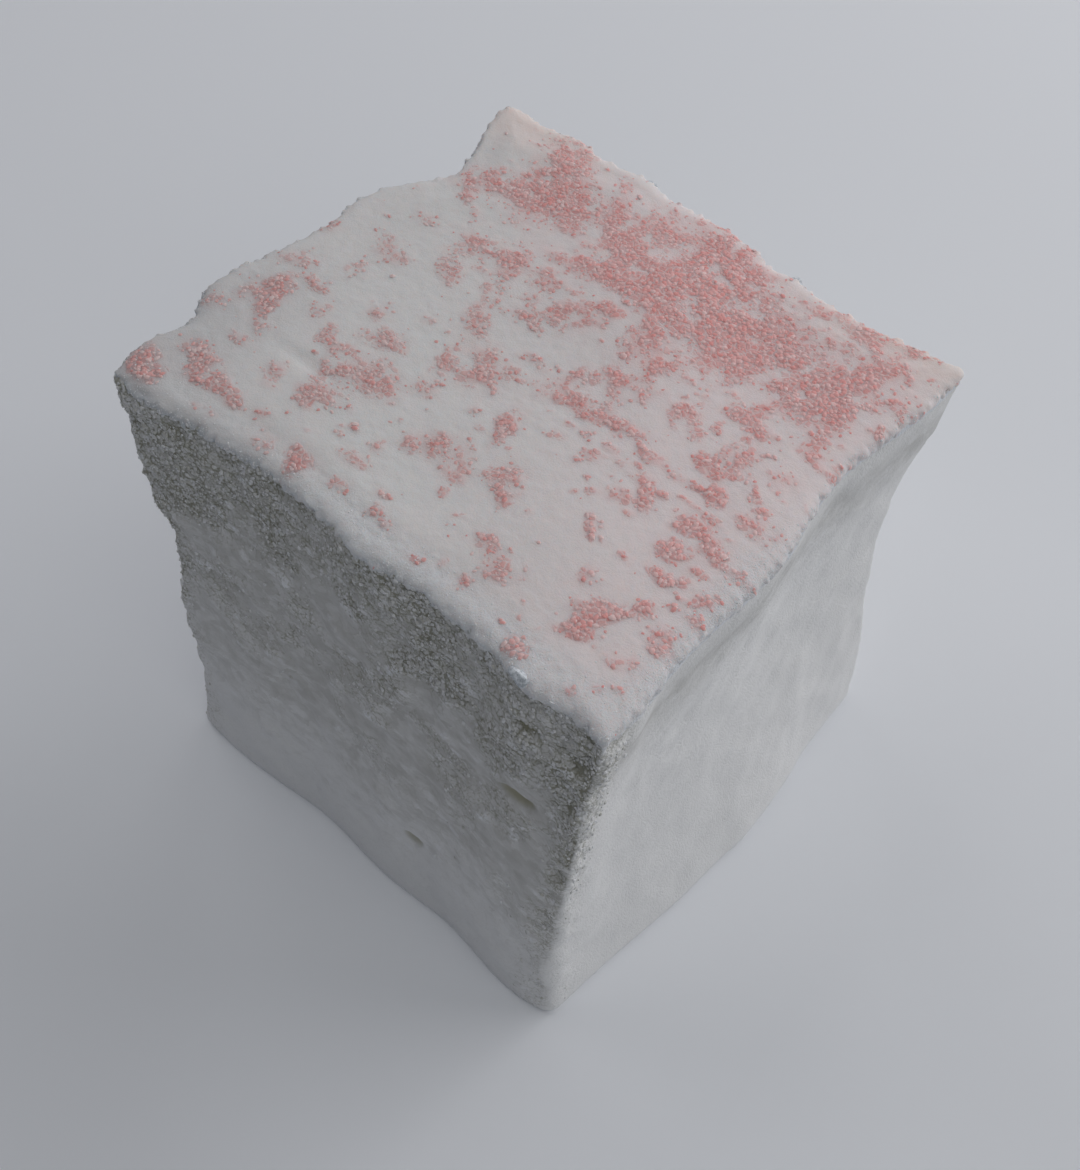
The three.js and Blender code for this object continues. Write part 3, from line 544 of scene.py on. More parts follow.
def skin_grid(edge, steps):
    """The skin inside its edge ring, as a grid: the ring's four sides blended across (each pair of
    facing sides mixed, added, less the mix of the four corners), with swells, a crease and a droop
    to the edge."""
    front = edge[: steps + 1]
    right = edge[steps : 2 * steps + 1]
    back = edge[2 * steps : 3 * steps + 1][::-1]
    left = np.concatenate([edge[3 * steps :], edge[:1]])[::-1]
    u = (np.arange(steps + 1) / steps)[None, :, None]
    v = (np.arange(steps + 1) / steps)[:, None, None]
    corners = mix(mix(front[0], front[-1], u), mix(back[0], back[-1], u), v)
    skin = mix(front[None], back[None], v) + mix(left[:, None], right[:, None], u) - corners
    inside = SIDE * np.minimum(np.minimum(u, 1 - u), np.minimum(v, 1 - v))[..., 0]
    along = (skin[..., 0] - CREASE_X) / CREASE_LENGTH
    across = (skin[..., 1] - CREASE_Y) / CREASE_WIDTH
    crease = CREASE_DEPTH * np.exp(-(along**2) - across**2)
    flat = skin * (1, 1, 0)
    width, drop = DROOP
    skin[..., 2] += drop * ramp(inside, 0, width)
    skin[..., 2] += ramp(inside, 0, RELIEF_FADE) * (relief(flat, SWELLS) - crease)
    return skin


def coat_mesh():
    """The powder coat as points, quads and triangles: a fan on its underside, its rings, and the
    skin's grid inside the last ring."""
    rings = coat_rings()
    count, across = rings.shape[:2]
    steps = across // 4
    inner = skin_grid(rings[-1], steps)[1:-1, 1:-1].reshape(-1, 3)
    walls = rings.reshape(-1, 3)
    points = np.concatenate([walls, inner, [[0, 0, HEIGHT - COAT_DEPTH]]])
    edge = len(walls) - across + np.arange(across)
    grid = np.empty((steps + 1, steps + 1), int)
    grid[1:-1, 1:-1] = len(walls) + np.arange(len(inner)).reshape(steps - 1, steps - 1)
    grid[0] = edge[: steps + 1]
    grid[:, -1] = edge[steps : 2 * steps + 1]
    grid[-1] = edge[2 * steps : 3 * steps + 1][::-1]
    grid[1:, 0] = edge[3 * steps :][::-1]
    skin = np.stack([grid[:-1, :-1], grid[:-1, 1:], grid[1:, 1:], grid[1:, :-1]], axis=-1)
    first = np.arange(across)
    under = np.stack([np.full(across, len(points) - 1), np.roll(first, -1), first], axis=-1)
    return points, np.concatenate([ring_walls(count, across), skin.reshape(-1, 4)]), under


def triangles_of(quads, fan):
    """Every face as triangles."""
    return np.concatenate([quads[:, [0, 1, 2]], quads[:, [0, 2, 3]], fan])


def outward(points, triangles):
    """The direction out of the surface at each point: the sum of the crossed edges of its
    triangles, made one long."""
    a, b, c = (points[triangles[:, n]] for n in range(3))
    cross = np.cross(b - a, c - a)
    total = np.zeros_like(points)
    for n in range(3):
        np.add.at(total, triangles[:, n], cross)
    return total / np.linalg.norm(total, axis=-1, keepdims=True)


def below_rim(points):
    """How far below the skin's level each point is."""
    return HEIGHT + skin_lift(points[:, 0], points[:, 1]) - points[:, 2]


def facing(out, side):
    """How far each direction out of the surface belongs to a side, from 0 to 1."""
    towards = (-out[:, 1], out[:, 0], out[:, 1], -out[:, 0])[side]
    return ramp(towards, 0.3, 0.8)


def tornness(points, out):
    """How granular the cut foam is, from 0 to 1: most near the rim and along the front upright
    corner, less and less down a side, and little on the right side, where starch fills the tears."""
    x, y, _ = points.T
    depth = below_rim(points)
    facing_front, facing_right = facing(out, FRONT), facing(out, RIGHT)
    reach = TORN_REACH + TORN_FURTHER_IN_FRONT * facing_front - TORN_LESS_ON_THE_RIGHT * facing_right
    spot = wandering(points)
    reach *= 1 + 1.3 * noise(spot, 4)
    near_rim = ramp(-depth, -reach, 0.1 * reach)
    near_corner = ramp(abs(x) - y, *TORN_CORNERS) * mix(0.35, 1, ramp(-depth, -24, -8))
    patchy = 0.55 * ramp(noise(spot, 2.4), -0.2, 0.25) * ramp(-depth, -28, -6)
    calm = 1 - facing_right * STARCH_ON_THE_RIGHT
    return np.clip((0.2 + 0.7 * near_rim + patchy) * calm + near_corner * 0.7, 0, 1)


def side_detail(points, out):
    """Fine relief of the cut sides: knobs, grain where the foam is torn, ragged corners, and the
    front side's pits and its knobs with painted highlights. Gives the relief, how torn the foam is, and how
    far each point belongs to a pit and to a knob with a painted highlight."""
    x, y, z = points.T
    torn = tornness(points, out)
    height = relief(points * KNOB_SQUASH, KNOBS) * (0.35 + 0.9 * torn)
    height += relief(points, GRAIN) * (0.1 + 0.9 * torn)
    rags = relief(points, CORNER_RAGS) * ramp(abs(x) + abs(y), *RAGGED_CORNERS)
    height += rags * ramp(z, 2, 14) * torn
    front = ramp(-out[:, 1], 0.3, 0.7) * (y < -12)
    pit, pale = np.zeros(len(points)), np.zeros(len(points))
    for px, pz, length, depth, tall, tilt in PITS:
        c, s = math.cos(math.radians(tilt)), math.sin(math.radians(tilt))
        along, across = (x - px) * c - (z - pz) * s, (x - px) * s + (z - pz) * c
        reach = (along * 2 / length) ** 2 + (across * 2 / tall) ** 2
        pit += front * depth * ramp(-reach, -1.6, 0)
    for px, pz, size, rise in FRONT_KNOBS:
        reach = ((x - px) / 1.15) ** 2 + (z - pz - 0.35 * (x - px)) ** 2
        pale += front * rise / FULL_RELIEF * np.exp(-1.7 * reach * 4 / size**2)
    return height + HIGHLIT_KNOB_RISE * pale - pit, torn, pit, pale


def specks():
    """Small round clumps at random, more of them to the back and the right."""
    rng = np.random.default_rng(SPECK_SEED)
    count, smallest, largest = SPECKS
    x, y = rng.uniform(-SIDE / 2, SIDE / 2, (2, count))
    keep = rng.random(count) < 0.12 + 0.88 * ramp(x + y, -8, 20)
    size = mix(smallest, largest, rng.random(count) ** 2)
    full = rng.uniform(0.3, 0.8, count)
    return np.stack([x, y, size, size * rng.uniform(0.6, 1.0, count), 0 * x, full], axis=-1)[keep]


CLUMPS = np.concatenate([np.array(BACK_BAND + MIDDLE_CLUMPS + FRONT_CLUMPS + LEFT_CLUMPS), specks()])


def fruit_cover(x, y, spread=1.0, softness=0.5):
    """How much of the skin the fruit crumb hides at a place, from 0 to 1: one less the product, over
    the clumps, of one less the clump's fullness inside its ellipse. Noise makes the outlines ragged
    and opens small gaps."""
    spot = np.stack([x, y, 0 * x], axis=-1)
    x = x + 0.6 * noise(spot, 1.8) + 0.4 * noise(spot, 0.6)
    y = y + 0.6 * noise(spot + 50, 1.8) + 0.4 * noise(spot + 50, 0.6)
    bare = np.ones_like(x)
    for cx, cy, length, width, turn, full in CLUMPS:
        near = (abs(x - cx) < length * spread) & (abs(y - cy) < length * spread)
        c, s = math.cos(math.radians(turn)), math.sin(math.radians(turn))
        along = ((x[near] - cx) * c + (y[near] - cy) * s) * 2 / (length * spread)
        across = ((y[near] - cy) * c - (x[near] - cx) * s) * 2 / (width * spread)
        reach = np.hypot(along, across)
        bare[near] *= 1 - full * ramp(-reach, -1 - softness, -1 + softness)
    return (1 - bare) * (1 - 0.6 * ramp(noise(spot, 0.8), 0.08, 0.3))


def frosting(points):
    """How thickly the powder lies, from 0 to 1: a fluffy band along the rim, widest at the front."""
    x, y = points[:, 0], points[:, 1]
    front = ramp(-y, 11.8, 13.6) * mix(0.25, 1, ramp(x, -12, 2))
    right = ramp(x, 13.6, 15.2) * ramp(-y, -3, 4)
    return np.clip(front + right - front * right, 0, 1)


def blush(points, halo):
    """How pink the skin is, from 0 to 1: more to the right and a little more to the back, and more
    still where juice has spread at the back."""
    x, y = points[:, 0], points[:, 1]
    return np.clip(ramp(x + 0.6 * y, -9, 15) + 0.5 * ramp(y, 0, 9) * halo, 0, 1)


def rim_share(out):
    """How far a spot of the coat belongs to its rim, from 0 to 1, by how far it faces sideways."""
    return ramp(1 - out[:, 2], 0.03, 0.35)


def coat_detail(points, out):
    """Fine relief of the powder coat: faint dimples, grain, a low mound under each clump, and rags
    along the rim."""
    grain = relief(points, SKIN_GRAIN) + relief(points, SKIN_POWDER) * (0.5 + frosting(points))
    mound = MOUND * fruit_cover(points[:, 0], points[:, 1], 1.1)
    rags = (relief(points, RIM_RAGS) + relief(points, RIM_TUFTS)) * rim_share(out)
    rags *= mix(1, 1.7, ramp(points[:, 1] - points[:, 0], -6, 8))
    return relief(points, SKIN_DIMPLES) + grain + mound + rags


# ---------------------------------------------------------------------------------------------
# Loose grains
# ---------------------------------------------------------------------------------------------
def scatter(points, triangles, out, weight, count, rng):
    """Random places on a surface: a triangle drawn by area times weight, and an even spot in it."""
    corners = points[triangles]
    area = np.linalg.norm(np.cross(corners[:, 1] - corners[:, 0], corners[:, 2] - corners[:, 0]), axis=-1)
    chance = area * weight[triangles].mean(axis=1)
    drawn = triangles[rng.choice(len(triangles), count, p=chance / chance.sum())]
    a, b = np.sqrt(rng.random(count)), rng.random(count)
    share = np.stack([1 - a, a * (1 - b), a * b], axis=-1)[..., None]
    place = (points[drawn] * share).sum(axis=1)
    direction = (out[drawn] * share).sum(axis=1)
    return place, direction / np.linalg.norm(direction, axis=-1, keepdims=True)


def spaced(places, gap, rng):
    """Places thinned to about one in each cube of side gap, the cubes being shifted at random."""
    cube = np.floor(places / gap + rng.random(3)).astype(int)
    return np.unique(cube, axis=0, return_index=True)[1]


def ball(sides, rings):
    """A closed sphere of radius 1 as points, quads and triangles: rings of points between a top and
    a bottom point."""
    tilt = (np.arange(1, rings + 1) / (rings + 1) * math.pi)[:, None]
    turn = (np.arange(sides) / sides * 2 * math.pi)[None, :]
    belt = np.stack([
        np.sin(tilt) * np.cos(turn), np.sin(tilt) * np.sin(turn), np.cos(tilt) + 0 * turn], axis=-1)
    points = np.concatenate([[[0, 0, 1]], belt.reshape(-1, 3), [[0, 0, -1]]])
    around = np.arange(sides)
    following = (around + 1) % sides
    belts = 1 + np.arange(rings - 1)[:, None] * sides
    quads = np.stack([belts + around, belts + sides + around,
                      belts + sides + following, belts + following], axis=-1).reshape(-1, 4)
    last = 1 + (rings - 1) * sides
    over = np.stack([0 * around, 1 + around, 1 + following], axis=-1)
    under = np.stack([0 * around + len(points) - 1, last + following, last + around], axis=-1)
    return points, quads, np.concatenate([over, under])


def dome(sides, rings):
    """A ball whose height is squared, so that it thins out to a sharp edge."""
    points, quads, caps = ball(sides, rings)
    thin = np.stack([points[:, 0], points[:, 1], points[:, 2] * abs(points[:, 2])], axis=-1)
    return thin, quads, caps


def pebbles(shape, places, out, sizes, form, rng):
    """Closed lumps, one at each place: a ball whose points are pushed in or out at random, stretched
    a little, flattened along the direction out and turned about it. Gives the points, the faces, and
    how far each point faces out."""
    shape, quads, caps = shape
    flatness, sunk, rough = form
    count = len(places)
    across = np.cross(out, rng.normal(size=(count, 3)))
    across /= np.linalg.norm(across, axis=-1, keepdims=True)
    axes = np.stack([across, np.cross(out, across), out], axis=1)
    stretch = rng.uniform(0.75, 1.3, count)
    scale = np.stack([sizes * stretch, sizes / stretch, sizes * flatness], axis=-1) / 2
    push = 1 + rough * rng.uniform(-1, 1, (count, len(shape), 1))
    local = shape[None] * push * scale[:, None]
    centre = places + out * (sizes * flatness * (0.5 - sunk))[:, None]
    points = centre[:, None] + np.einsum("gvi,gij->gvj", local, axes)
    shift = (np.arange(count) * len(shape))[:, None, None]
    faces = [(group[None] + shift).reshape(-1, group.shape[1]) for group in (quads, caps)]
    return points.reshape(-1, 3), faces, np.tile(shape[:, 2], count)


def strewn(surface, weight, grains, shape, form, rng):
    """Loose grains strewn over a surface, thickest where weight is greatest and most of them small.
    Gives the points and the faces."""
    count, smallest, largest = grains
    place, direction = scatter(*surface, weight, count, rng)
    sizes = mix(smallest, largest, rng.random(count) ** 2)
    points, faces, _ = pebbles(shape, place, direction, sizes, form, rng)
    return points, faces


# ---------------------------------------------------------------------------------------------
# Finishes
# ---------------------------------------------------------------------------------------------
class Field:
    """A number that varies over a surface. It wraps a node's socket, and arithmetic on it adds
    Math nodes to the finish that the socket belongs to."""

    def __init__(self, finish, socket):
        self.finish = finish
        self.socket = socket

    def _math(self, operation, *values):
        return self.finish.node("Math", {"operation": operation}, dict(enumerate(values)))

    def __add__(self, other):
        return self._math("ADD", self, other)

    __radd__ = __add__

    def __sub__(self, other):
        return self._math("SUBTRACT", self, other)

    def __rsub__(self, other):
        return self._math("SUBTRACT", other, self)

    def __mul__(self, other):
        return self._math("MULTIPLY", self, other)

    def ramp(self, start, end):
        """0 before start, 1 after end, and an S-curve between."""
        return self.finish.node(
            "MapRange", {"interpolation_type": "SMOOTHSTEP"},
            {"Value": self, "From Min": start, "From Max": end})


class Finish:
    """A material made of nodes. node() adds any node: its settings are set first, then the values
    or links of its sockets."""

    def __init__(self, name):
        self.material = bpy.data.materials.new(name)
        self.material.use_nodes = True
        self.tree = self.material.node_tree
        self.tree.nodes.clear()

    def node(self, kind, settings=None, inputs=None, output=0):
        made = self.tree.nodes.new("ShaderNode" + kind)
        for name, value in (settings or {}).items():
            setattr(made, name, value)
        for name, value in (inputs or {}).items():
            if isinstance(value, Field):
                self.tree.links.new(value.socket, made.inputs[name])
            else:
                made.inputs[name].default_value = value
        return Field(self, made.outputs[output])

    def attribute(self, name):
        """A number that the piece gives for each of its points."""
        return self.node("Attribute", {"attribute_name": name}, output="Fac")

    def place(self, wander=0.0, size=1.0, squeeze=(1, 1, 1)):
        """Where a point is, squeezed along each axis, and shifted at random by about wander
        millimetres."""
        here = self.node("TexCoord", output="Object")
        if squeeze != (1, 1, 1):
            here = self.node("VectorMath", {"operation": "MULTIPLY"}, {0: here, 1: squeeze})
        if not wander:
            return here
        shift = self.node(
            "TexNoise", None, {"Vector": here, "Scale": 1 / (size * MM)}, output="Color")
        scale = self.node("VectorMath", {"operation": "SCALE"}, {0: shift, "Scale": wander * MM * 2})
        return self.node("VectorMath", {"operation": "ADD"}, {0: here, 1: scale})

    def speckle(self, size, detail=2.0, rough=0.5, squeeze=(1, 1, 1)):
        """Noise from 0 to 1 whose features are about size millimetres across."""
        return self.node("TexNoise", {"noise_dimensions": "3D"}, {
            "Vector": self.place(squeeze=squeeze), "Scale": 1 / (size * MM), "Detail": detail,
            "Roughness": rough})

    def cells(self, size, wander, squeeze=(1, 1, 1)):
        """Irregular cells about size millimetres across: the distance from their borders, as a share
        of size, and a random value for each cell."""
        inputs = {"Vector": self.place(wander, size, squeeze), "Scale": 1 / (size * MM)}
        border = self.node("TexVoronoi", {"feature": "DISTANCE_TO_EDGE"}, inputs)
        paint = self.node("TexVoronoi", {"feature": "F1"}, inputs, output="Color")
        return border, self.node("SeparateColor", None, {"Color": paint})

    def blend(self, below, above, amount, way="MIX"):
        """One colour laid over another, as far as amount says."""
        inputs = {MIX_SHARE: amount, MIX_BELOW: below, MIX_ABOVE: above}
        return self.node("Mix", {"data_type": "RGBA", "blend_type": way}, inputs, MIX_RESULT)

    def tint(self, below, dye, amount):
        """A colour multiplied by a dye, as far as amount says."""
        return self.blend(below, dye, amount, "MULTIPLY")

    def surface(self, colour, roughness, height=0.0, **constants):
        """The finished surface: colour, roughness, fine relief in millimetres, and constants."""
        inputs = {"Base Color": colour, "Roughness": roughness}
        if isinstance(height, Field):
            inputs["Normal"] = self.node("Bump", None, {"Height": height, "Distance": MM})
        inputs.update({name.replace("_", " "): value for name, value in constants.items()})
        shader = self.node("BsdfPrincipled", None, inputs)
        output = self.tree.nodes.new("ShaderNodeOutputMaterial")
        self.tree.links.new(shader.socket, output.inputs["Surface"])
        return self.material


def foam_finish():
    """Cut sugar foam: grains and flakes that lie along the side, each its own grey, with olive between
    them where it is torn, partly painted shade, painted highlights where knobs stand out, painted light
    towards the base and painted shade below the right side's rim, white with starch on the right side and
    with powder next to the rim, both also painted light under the right rim, and syrupy brown inside the
    pits, partly painted shade."""
    f = Finish("cut_foam")
    torn, height, powder_and_painted_light = f.attribute("torn"), f.attribute("height"), f.attribute("powder_and_painted_light")
    pit, pale, starch_and_painted_light = f.attribute("pit"), f.attribute("pale"), f.attribute("starch_and_painted_light")
    # Painted light and shade worked out for each point of the foam.
    painted_light_and_shade = f.attribute("painted_light_and_shade")
    lying = (0.85, 0.85, 1.2)
    border, shade = f.cells(size=0.31, wander=0.16)
    flake_border, flake_shade = f.cells(size=0.7, wander=0.45, squeeze=lying)
    mottle = f.speckle(size=1.2, detail=4.0, rough=0.65, squeeze=lying)
    fine = f.speckle(size=0.13, rough=0.6)
    grain_gap = (1.0 - border.ramp(0.0, 0.2)) * (mottle + shade * 0.4).ramp(0.4, 0.75)
    flake_gap = (1.0 - flake_border.ramp(0.0, 0.16)) * (fine + mottle - 0.4).ramp(0.3, 0.7)
    # Painted shade in the hollows of the relief.
    hollow_shade = (0.0 - height).ramp(0.0, 0.9)
    # Olive between grains and flakes where the foam is torn: partly its own colour, partly painted shade in
    # the crevices and hollows.
    gaps = (grain_gap * 0.7 + flake_gap * 0.7 + hollow_shade * 0.7 + (0.5 - fine).ramp(0.0, 0.12) * 0.4) * torn
    flaky = (flake_shade - 0.5) * (0.15 + torn * 0.3)
    # Lightness: random mottle and flakes, more where torn, painted light where the relief stands out, and
    # the painted light and shade worked out for each point.
    light = mottle + height * 0.25 + flaky + painted_light_and_shade * 0.3 + torn * 0.15
    colour = f.blend(DARKER_FOAM, LIGHTER_FOAM, light.ramp(0.2, 1.05))
    # Starch white on the right side, near the rim also painted light.
    colour = f.blend(colour, STARCH_AND_PAINTED_LIGHT, starch_and_painted_light * 0.9)
    flecks = flake_shade.ramp(0.85, 0.95) * flake_border.ramp(0.05, 0.3) * (0.3 + torn * 0.7)
    # Light flecks and grains of torn foam, and painted highlights on the front side's knobs.
    pale_and_highlight = pale * fine * 1.7 + flecks * 0.8 + (shade + fine - 1.0) * 0.6 * torn
    colour = f.blend(colour, PALE_FOAM_AND_HIGHLIGHT, pale_and_highlight.ramp(0.1, 1.0))
    # Olive in the torn foam: its own colour and painted shade.
    colour = f.blend(colour, OLIVE_GAP_AND_SHADE, gaps.ramp(0.1, 1.1) * (0.8 - starch_and_painted_light * 0.5))
    # Olive-brown inside the pits: a syrupy colour and painted shade in the recess.
    colour = f.blend(colour, SYRUP_AND_SHADE, pit.ramp(0.05, 0.35) * 0.85)
    # Powder next to the rim, on the right side also painted light.
    colour = f.blend(colour, SIDE_POWDER_AND_PAINTED_LIGHT, (powder_and_painted_light * 1.3 + fine - 1.1).ramp(0.0, 0.5) * 0.9)
    relief = (border.ramp(0.0, 0.3) * 0.04 + fine * 0.045 + flake_border.ramp(0.0, 0.2) * 0.05) * torn
    return f.surface(colour, 0.92, relief + fine * (starch_and_painted_light * 0.045 + 0.015), Specular_IOR_Level=0.2)


def skin_colour(f):
    """The powdered skin's colour, which turns pinker towards the right."""
    mottle = f.speckle(size=3.0)
    blush = f.attribute("blush") + (mottle - 0.5) * 0.4
    return f.blend(WHITE_SKIN, PINK_SKIN, blush)


def coat_finish():
    """Starch and icing sugar over the skin, fluffy and bluish where it lies thick, with painted shade along
    the rim where it turns down and by the left corner. Round the fruit it is faintly stained, and where
    there is fruit it is stained in small cells with white borders, deeper in some."""
    f = Finish("powder_coat")
    fruit, halo, warm = f.attribute("fruit"), f.attribute("halo"), f.attribute("warm")
    frost, edge = f.attribute("frost"), f.attribute("edge")
    powder = f.speckle(size=0.11, detail=3.0, rough=0.7)
    border, shade = f.cells(size=0.36, wander=0.12)
    present = (fruit * 1.4 - shade + (powder - 0.5) * 0.3).ramp(-0.1, 0.2) * fruit.ramp(0.02, 0.2)
    stained = present * border.ramp(0.0, 0.2)
    colour = f.blend(skin_colour(f), WARM_SKIN, warm)
    colour = f.blend(colour, FROST, frost * powder.ramp(0.3, 0.6) * (0.8 - warm * 0.6))
    # Painted shade, bluish grey, on the rim where the coat turns down away from the light.
    colour = f.blend(colour, BLUISH_RIM_SHADE, edge * (1.4 - powder).ramp(0.5, 1.2))
    # Painted shade by the left corner and the front-left rim.
    colour = f.tint(colour, PAINTED_SHADE_DYE, f.attribute("painted_shade"))
    colour = f.tint(colour, FAINT_STAIN, halo * 0.8)
    colour = f.tint(colour, PINK_STAIN, fruit.ramp(0.0, 0.8) * 0.8)
    colour = f.tint(colour, DEEP_STAIN, stained * (0.35 + shade * 0.5))
    relief = powder * (frost * 0.03 + 0.03) + stained * 0.02
    return f.surface(colour, 0.9, relief, Subsurface_Weight=0.6, Subsurface_Scale=0.0008,
                     Subsurface_Radius=(1.0, 0.8, 0.7), Specular_IOR_Level=0.25)


def fruit_finish():
    """Freeze-dried fruit: the skin's colour dyed from rose to red, each crumb its own, paler with
    dust in places, with a painted highlight round its border that lightens its shaded sides, and faintly
    glazed."""
    f = Finish("freeze_dried_fruit")
    ripeness, upward = f.attribute("shade"), f.attribute("upward")
    flesh = f.speckle(size=0.12, rough=0.6)
    dust = f.speckle(size=0.07, rough=0.7)
    colour = f.tint(skin_colour(f), ROSE, 1.0)
    colour = f.tint(colour, RED, (ripeness + flesh * 0.5).ramp(0.2, 1.2))
    # Painted highlight round each crumb's border, where its sides turn down into shade; dust as well in
    # places.
    border = 1.0 - upward.ramp(0.1, 0.6)
    colour = f.blend(colour, DUST_AND_HIGHLIGHT_ROSE, (dust + border * 0.55).ramp(0.45, 0.95) * 0.7)
    return f.surface(colour, 0.8, flesh * 0.02, Specular_IOR_Level=0.3, Coat_Weight=0.35,
                     Coat_Roughness=0.28)


def crumb_finish():
    """Crumbs of torn foam, from olive grey to bluish white."""
    f = Finish("foam_crumb")
    grain = f.speckle(size=0.1, rough=0.6)
    shade = (f.attribute("shade") + grain * 0.5).ramp(0.1, 1.3)
    colour = f.blend(DULL_CRUMB, CLEAN_CRUMB, shade)
    return f.surface(colour, 0.9, grain * 0.03, Specular_IOR_Level=0.2)


def dust_finish():
    """Icing sugar and starch: the whitest thing here."""
    f = Finish("sugar_dust")
    grain = f.speckle(size=0.05, detail=1.0)
    colour = f.blend(THIN_SUGAR, THICK_SUGAR, grain)
    return f.surface(colour, 0.75, grain * 0.01, Specular_IOR_Level=0.35)


def flake_finish():
    """Flakes of dried syrup at the rim, bluish and grainy."""
    f = Finish("rim_flake")
    grain = f.speckle(size=0.16, detail=3.0, rough=0.7)
    colour = f.blend(CLEAR_FLAKE, CLOUDY_FLAKE, grain.ramp(0.3, 0.65))
    return f.surface(colour, 0.6, grain * 0.06, Specular_IOR_Level=0.35)


# ---------------------------------------------------------------------------------------------
# Pieces
# ---------------------------------------------------------------------------------------------
def make_piece(name, points, faces, material, fields):
    """A mesh object at the origin from points in millimetres, kept inside the solid's box."""
    mesh = bpy.data.meshes.new(name)
    held = np.clip(points, BOX_LOW, BOX_HIGH) * MM
    corners = np.concatenate([group.ravel() for group in faces])
    sizes = np.concatenate([np.full(len(group), group.shape[1]) for group in faces])
    mesh.vertices.add(len(held))
    mesh.vertices.foreach_set("co", held.ravel())
    mesh.loops.add(len(corners))
    mesh.loops.foreach_set("vertex_index", corners)
    mesh.polygons.add(len(sizes))
    mesh.polygons.foreach_set("loop_start", np.cumsum(sizes) - sizes)
    mesh.polygons.foreach_set("use_smooth", np.ones(len(sizes), bool))
    for field, values in fields.items():
        layer = mesh.attributes.new(field, "FLOAT", "POINT")
        layer.data.foreach_set("value", np.asarray(values, np.float32))
    mesh.update(calc_edges=True)
    mesh.validate()
    mesh.materials.append(material)
    piece = bpy.data.objects.new(name, mesh)
    bpy.context.scene.collection.objects.link(piece)
    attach(piece, "root")
    return piece


def make_foam():
    """The foam, with the fine relief added along the directions out of it."""
    points, quads, fans = foam_mesh()
    triangles = triangles_of(quads, fans)
    out = outward(points, triangles)
    detail, torn, pit, pale = side_detail(points, out)
    x, y, z = points.T
    depth = below_rim(points)
    detail *= ramp(z, 0, 1.5) * ramp(depth, FOAM_BELOW_COAT, 0.9)
    points = points + out * detail[:, None]
    right, back = facing(out, RIGHT), facing(out, BACK)
    # Painted light from the floor: the foam is lighter towards the base, less so on the back side.
    low = 2.0 * ramp(-z, -16, -1) * mix(1, 0.4, back)
    # Painted light just under the right side's rim, against the shade that the overhanging coat casts there.
    under_the_rim = 0.5 * right * ramp(-depth, -1.3, -0.5)
    # Painted shade below the right side's rim, strongest towards the front.
    bare = 0.3 * right * ramp(-depth, -8, -2.5) * ramp(-y, -7, 5)
    fields = {
        "torn": torn, "height": detail / FULL_RELIEF, "pit": pit, "pale": pale,
        # Powder along the rim, made stronger on the right side as painted light against the shade under the
        # overhanging coat.
        "powder_and_painted_light": ramp(-depth, -1.6, -0.3) * (0.5 + noise(points, 1.5) + 1.2 * right),
        # Starch on the right side, whiter further down; near the rim also painted light, against the shade
        # under the overhanging coat.
        "starch_and_painted_light": right * np.maximum(ramp(depth, 1.5, 9), 0.75 * ramp(-depth, -5, -1.3)),
        # Painted light and shade: lighter towards the base and by the left corner, painted shade below the
        # right side's rim, and painted light just under it.
        "painted_light_and_shade": low + ramp(-x, 12.5, 15) - bare + under_the_rim,
    }
    foam = make_piece("cut_foam", points, (quads, fans), foam_finish(), fields)
    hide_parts("marshmallow")
    return points, triangles, outward(points, triangles), torn


def make_coat():
    """The powder coat with its skin, stained where the fruit lies."""
    points, quads, fan = coat_mesh()
    triangles = triangles_of(quads, fan)
    out = outward(points, triangles)
    shown = ramp(points[:, 2], HEIGHT - COAT_DEPTH, HEIGHT - COAT_DEPTH + 0.1)
    points = points + out * (coat_detail(points, out) * shown)[:, None]
    x, y = points[:, 0], points[:, 1]
    on_top = ramp(-below_rim(points), -1.2, -0.3)
    halo = fruit_cover(x, y, 1.6, 0.9)
    hem = rim_share(out) * ramp(below_rim(points), 0.05, 0.5)
    by_left_corner = ramp(-x, 9, 15) * ramp(-y, 0, 9)
    by_front_left_rim = ramp(-y, 12.4, 14.2) * ramp(-x, 2, 8)
    fields = {
        "fruit": fruit_cover(x, y, *CRUMB_EDGE) * on_top,
        "halo": halo * on_top,
        "blush": blush(points, halo) * on_top,
        "frost": frosting(points),
        # Painted shade along the coat's rim where it turns down, more at the front and left than at the back
        # and right.
        "edge": hem * mix(1, 0.6, ramp(x, 0, 12)) * mix(0.3, 1, ramp(-y, -13, -6)),
        "warm": np.clip(ramp(y, 10, 15) * (ramp(-x, 6, 14) + ramp(x, 3, 12)), 0, 1),
        # Painted shade on the skin by the left corner and along the front-left rim.
        "painted_shade": np.maximum(by_left_corner, by_front_left_rim) * on_top,
    }
    make_piece("powder_coat", points, (quads, fan), coat_finish(), fields)
    return points, triangles, outward(points, triangles)


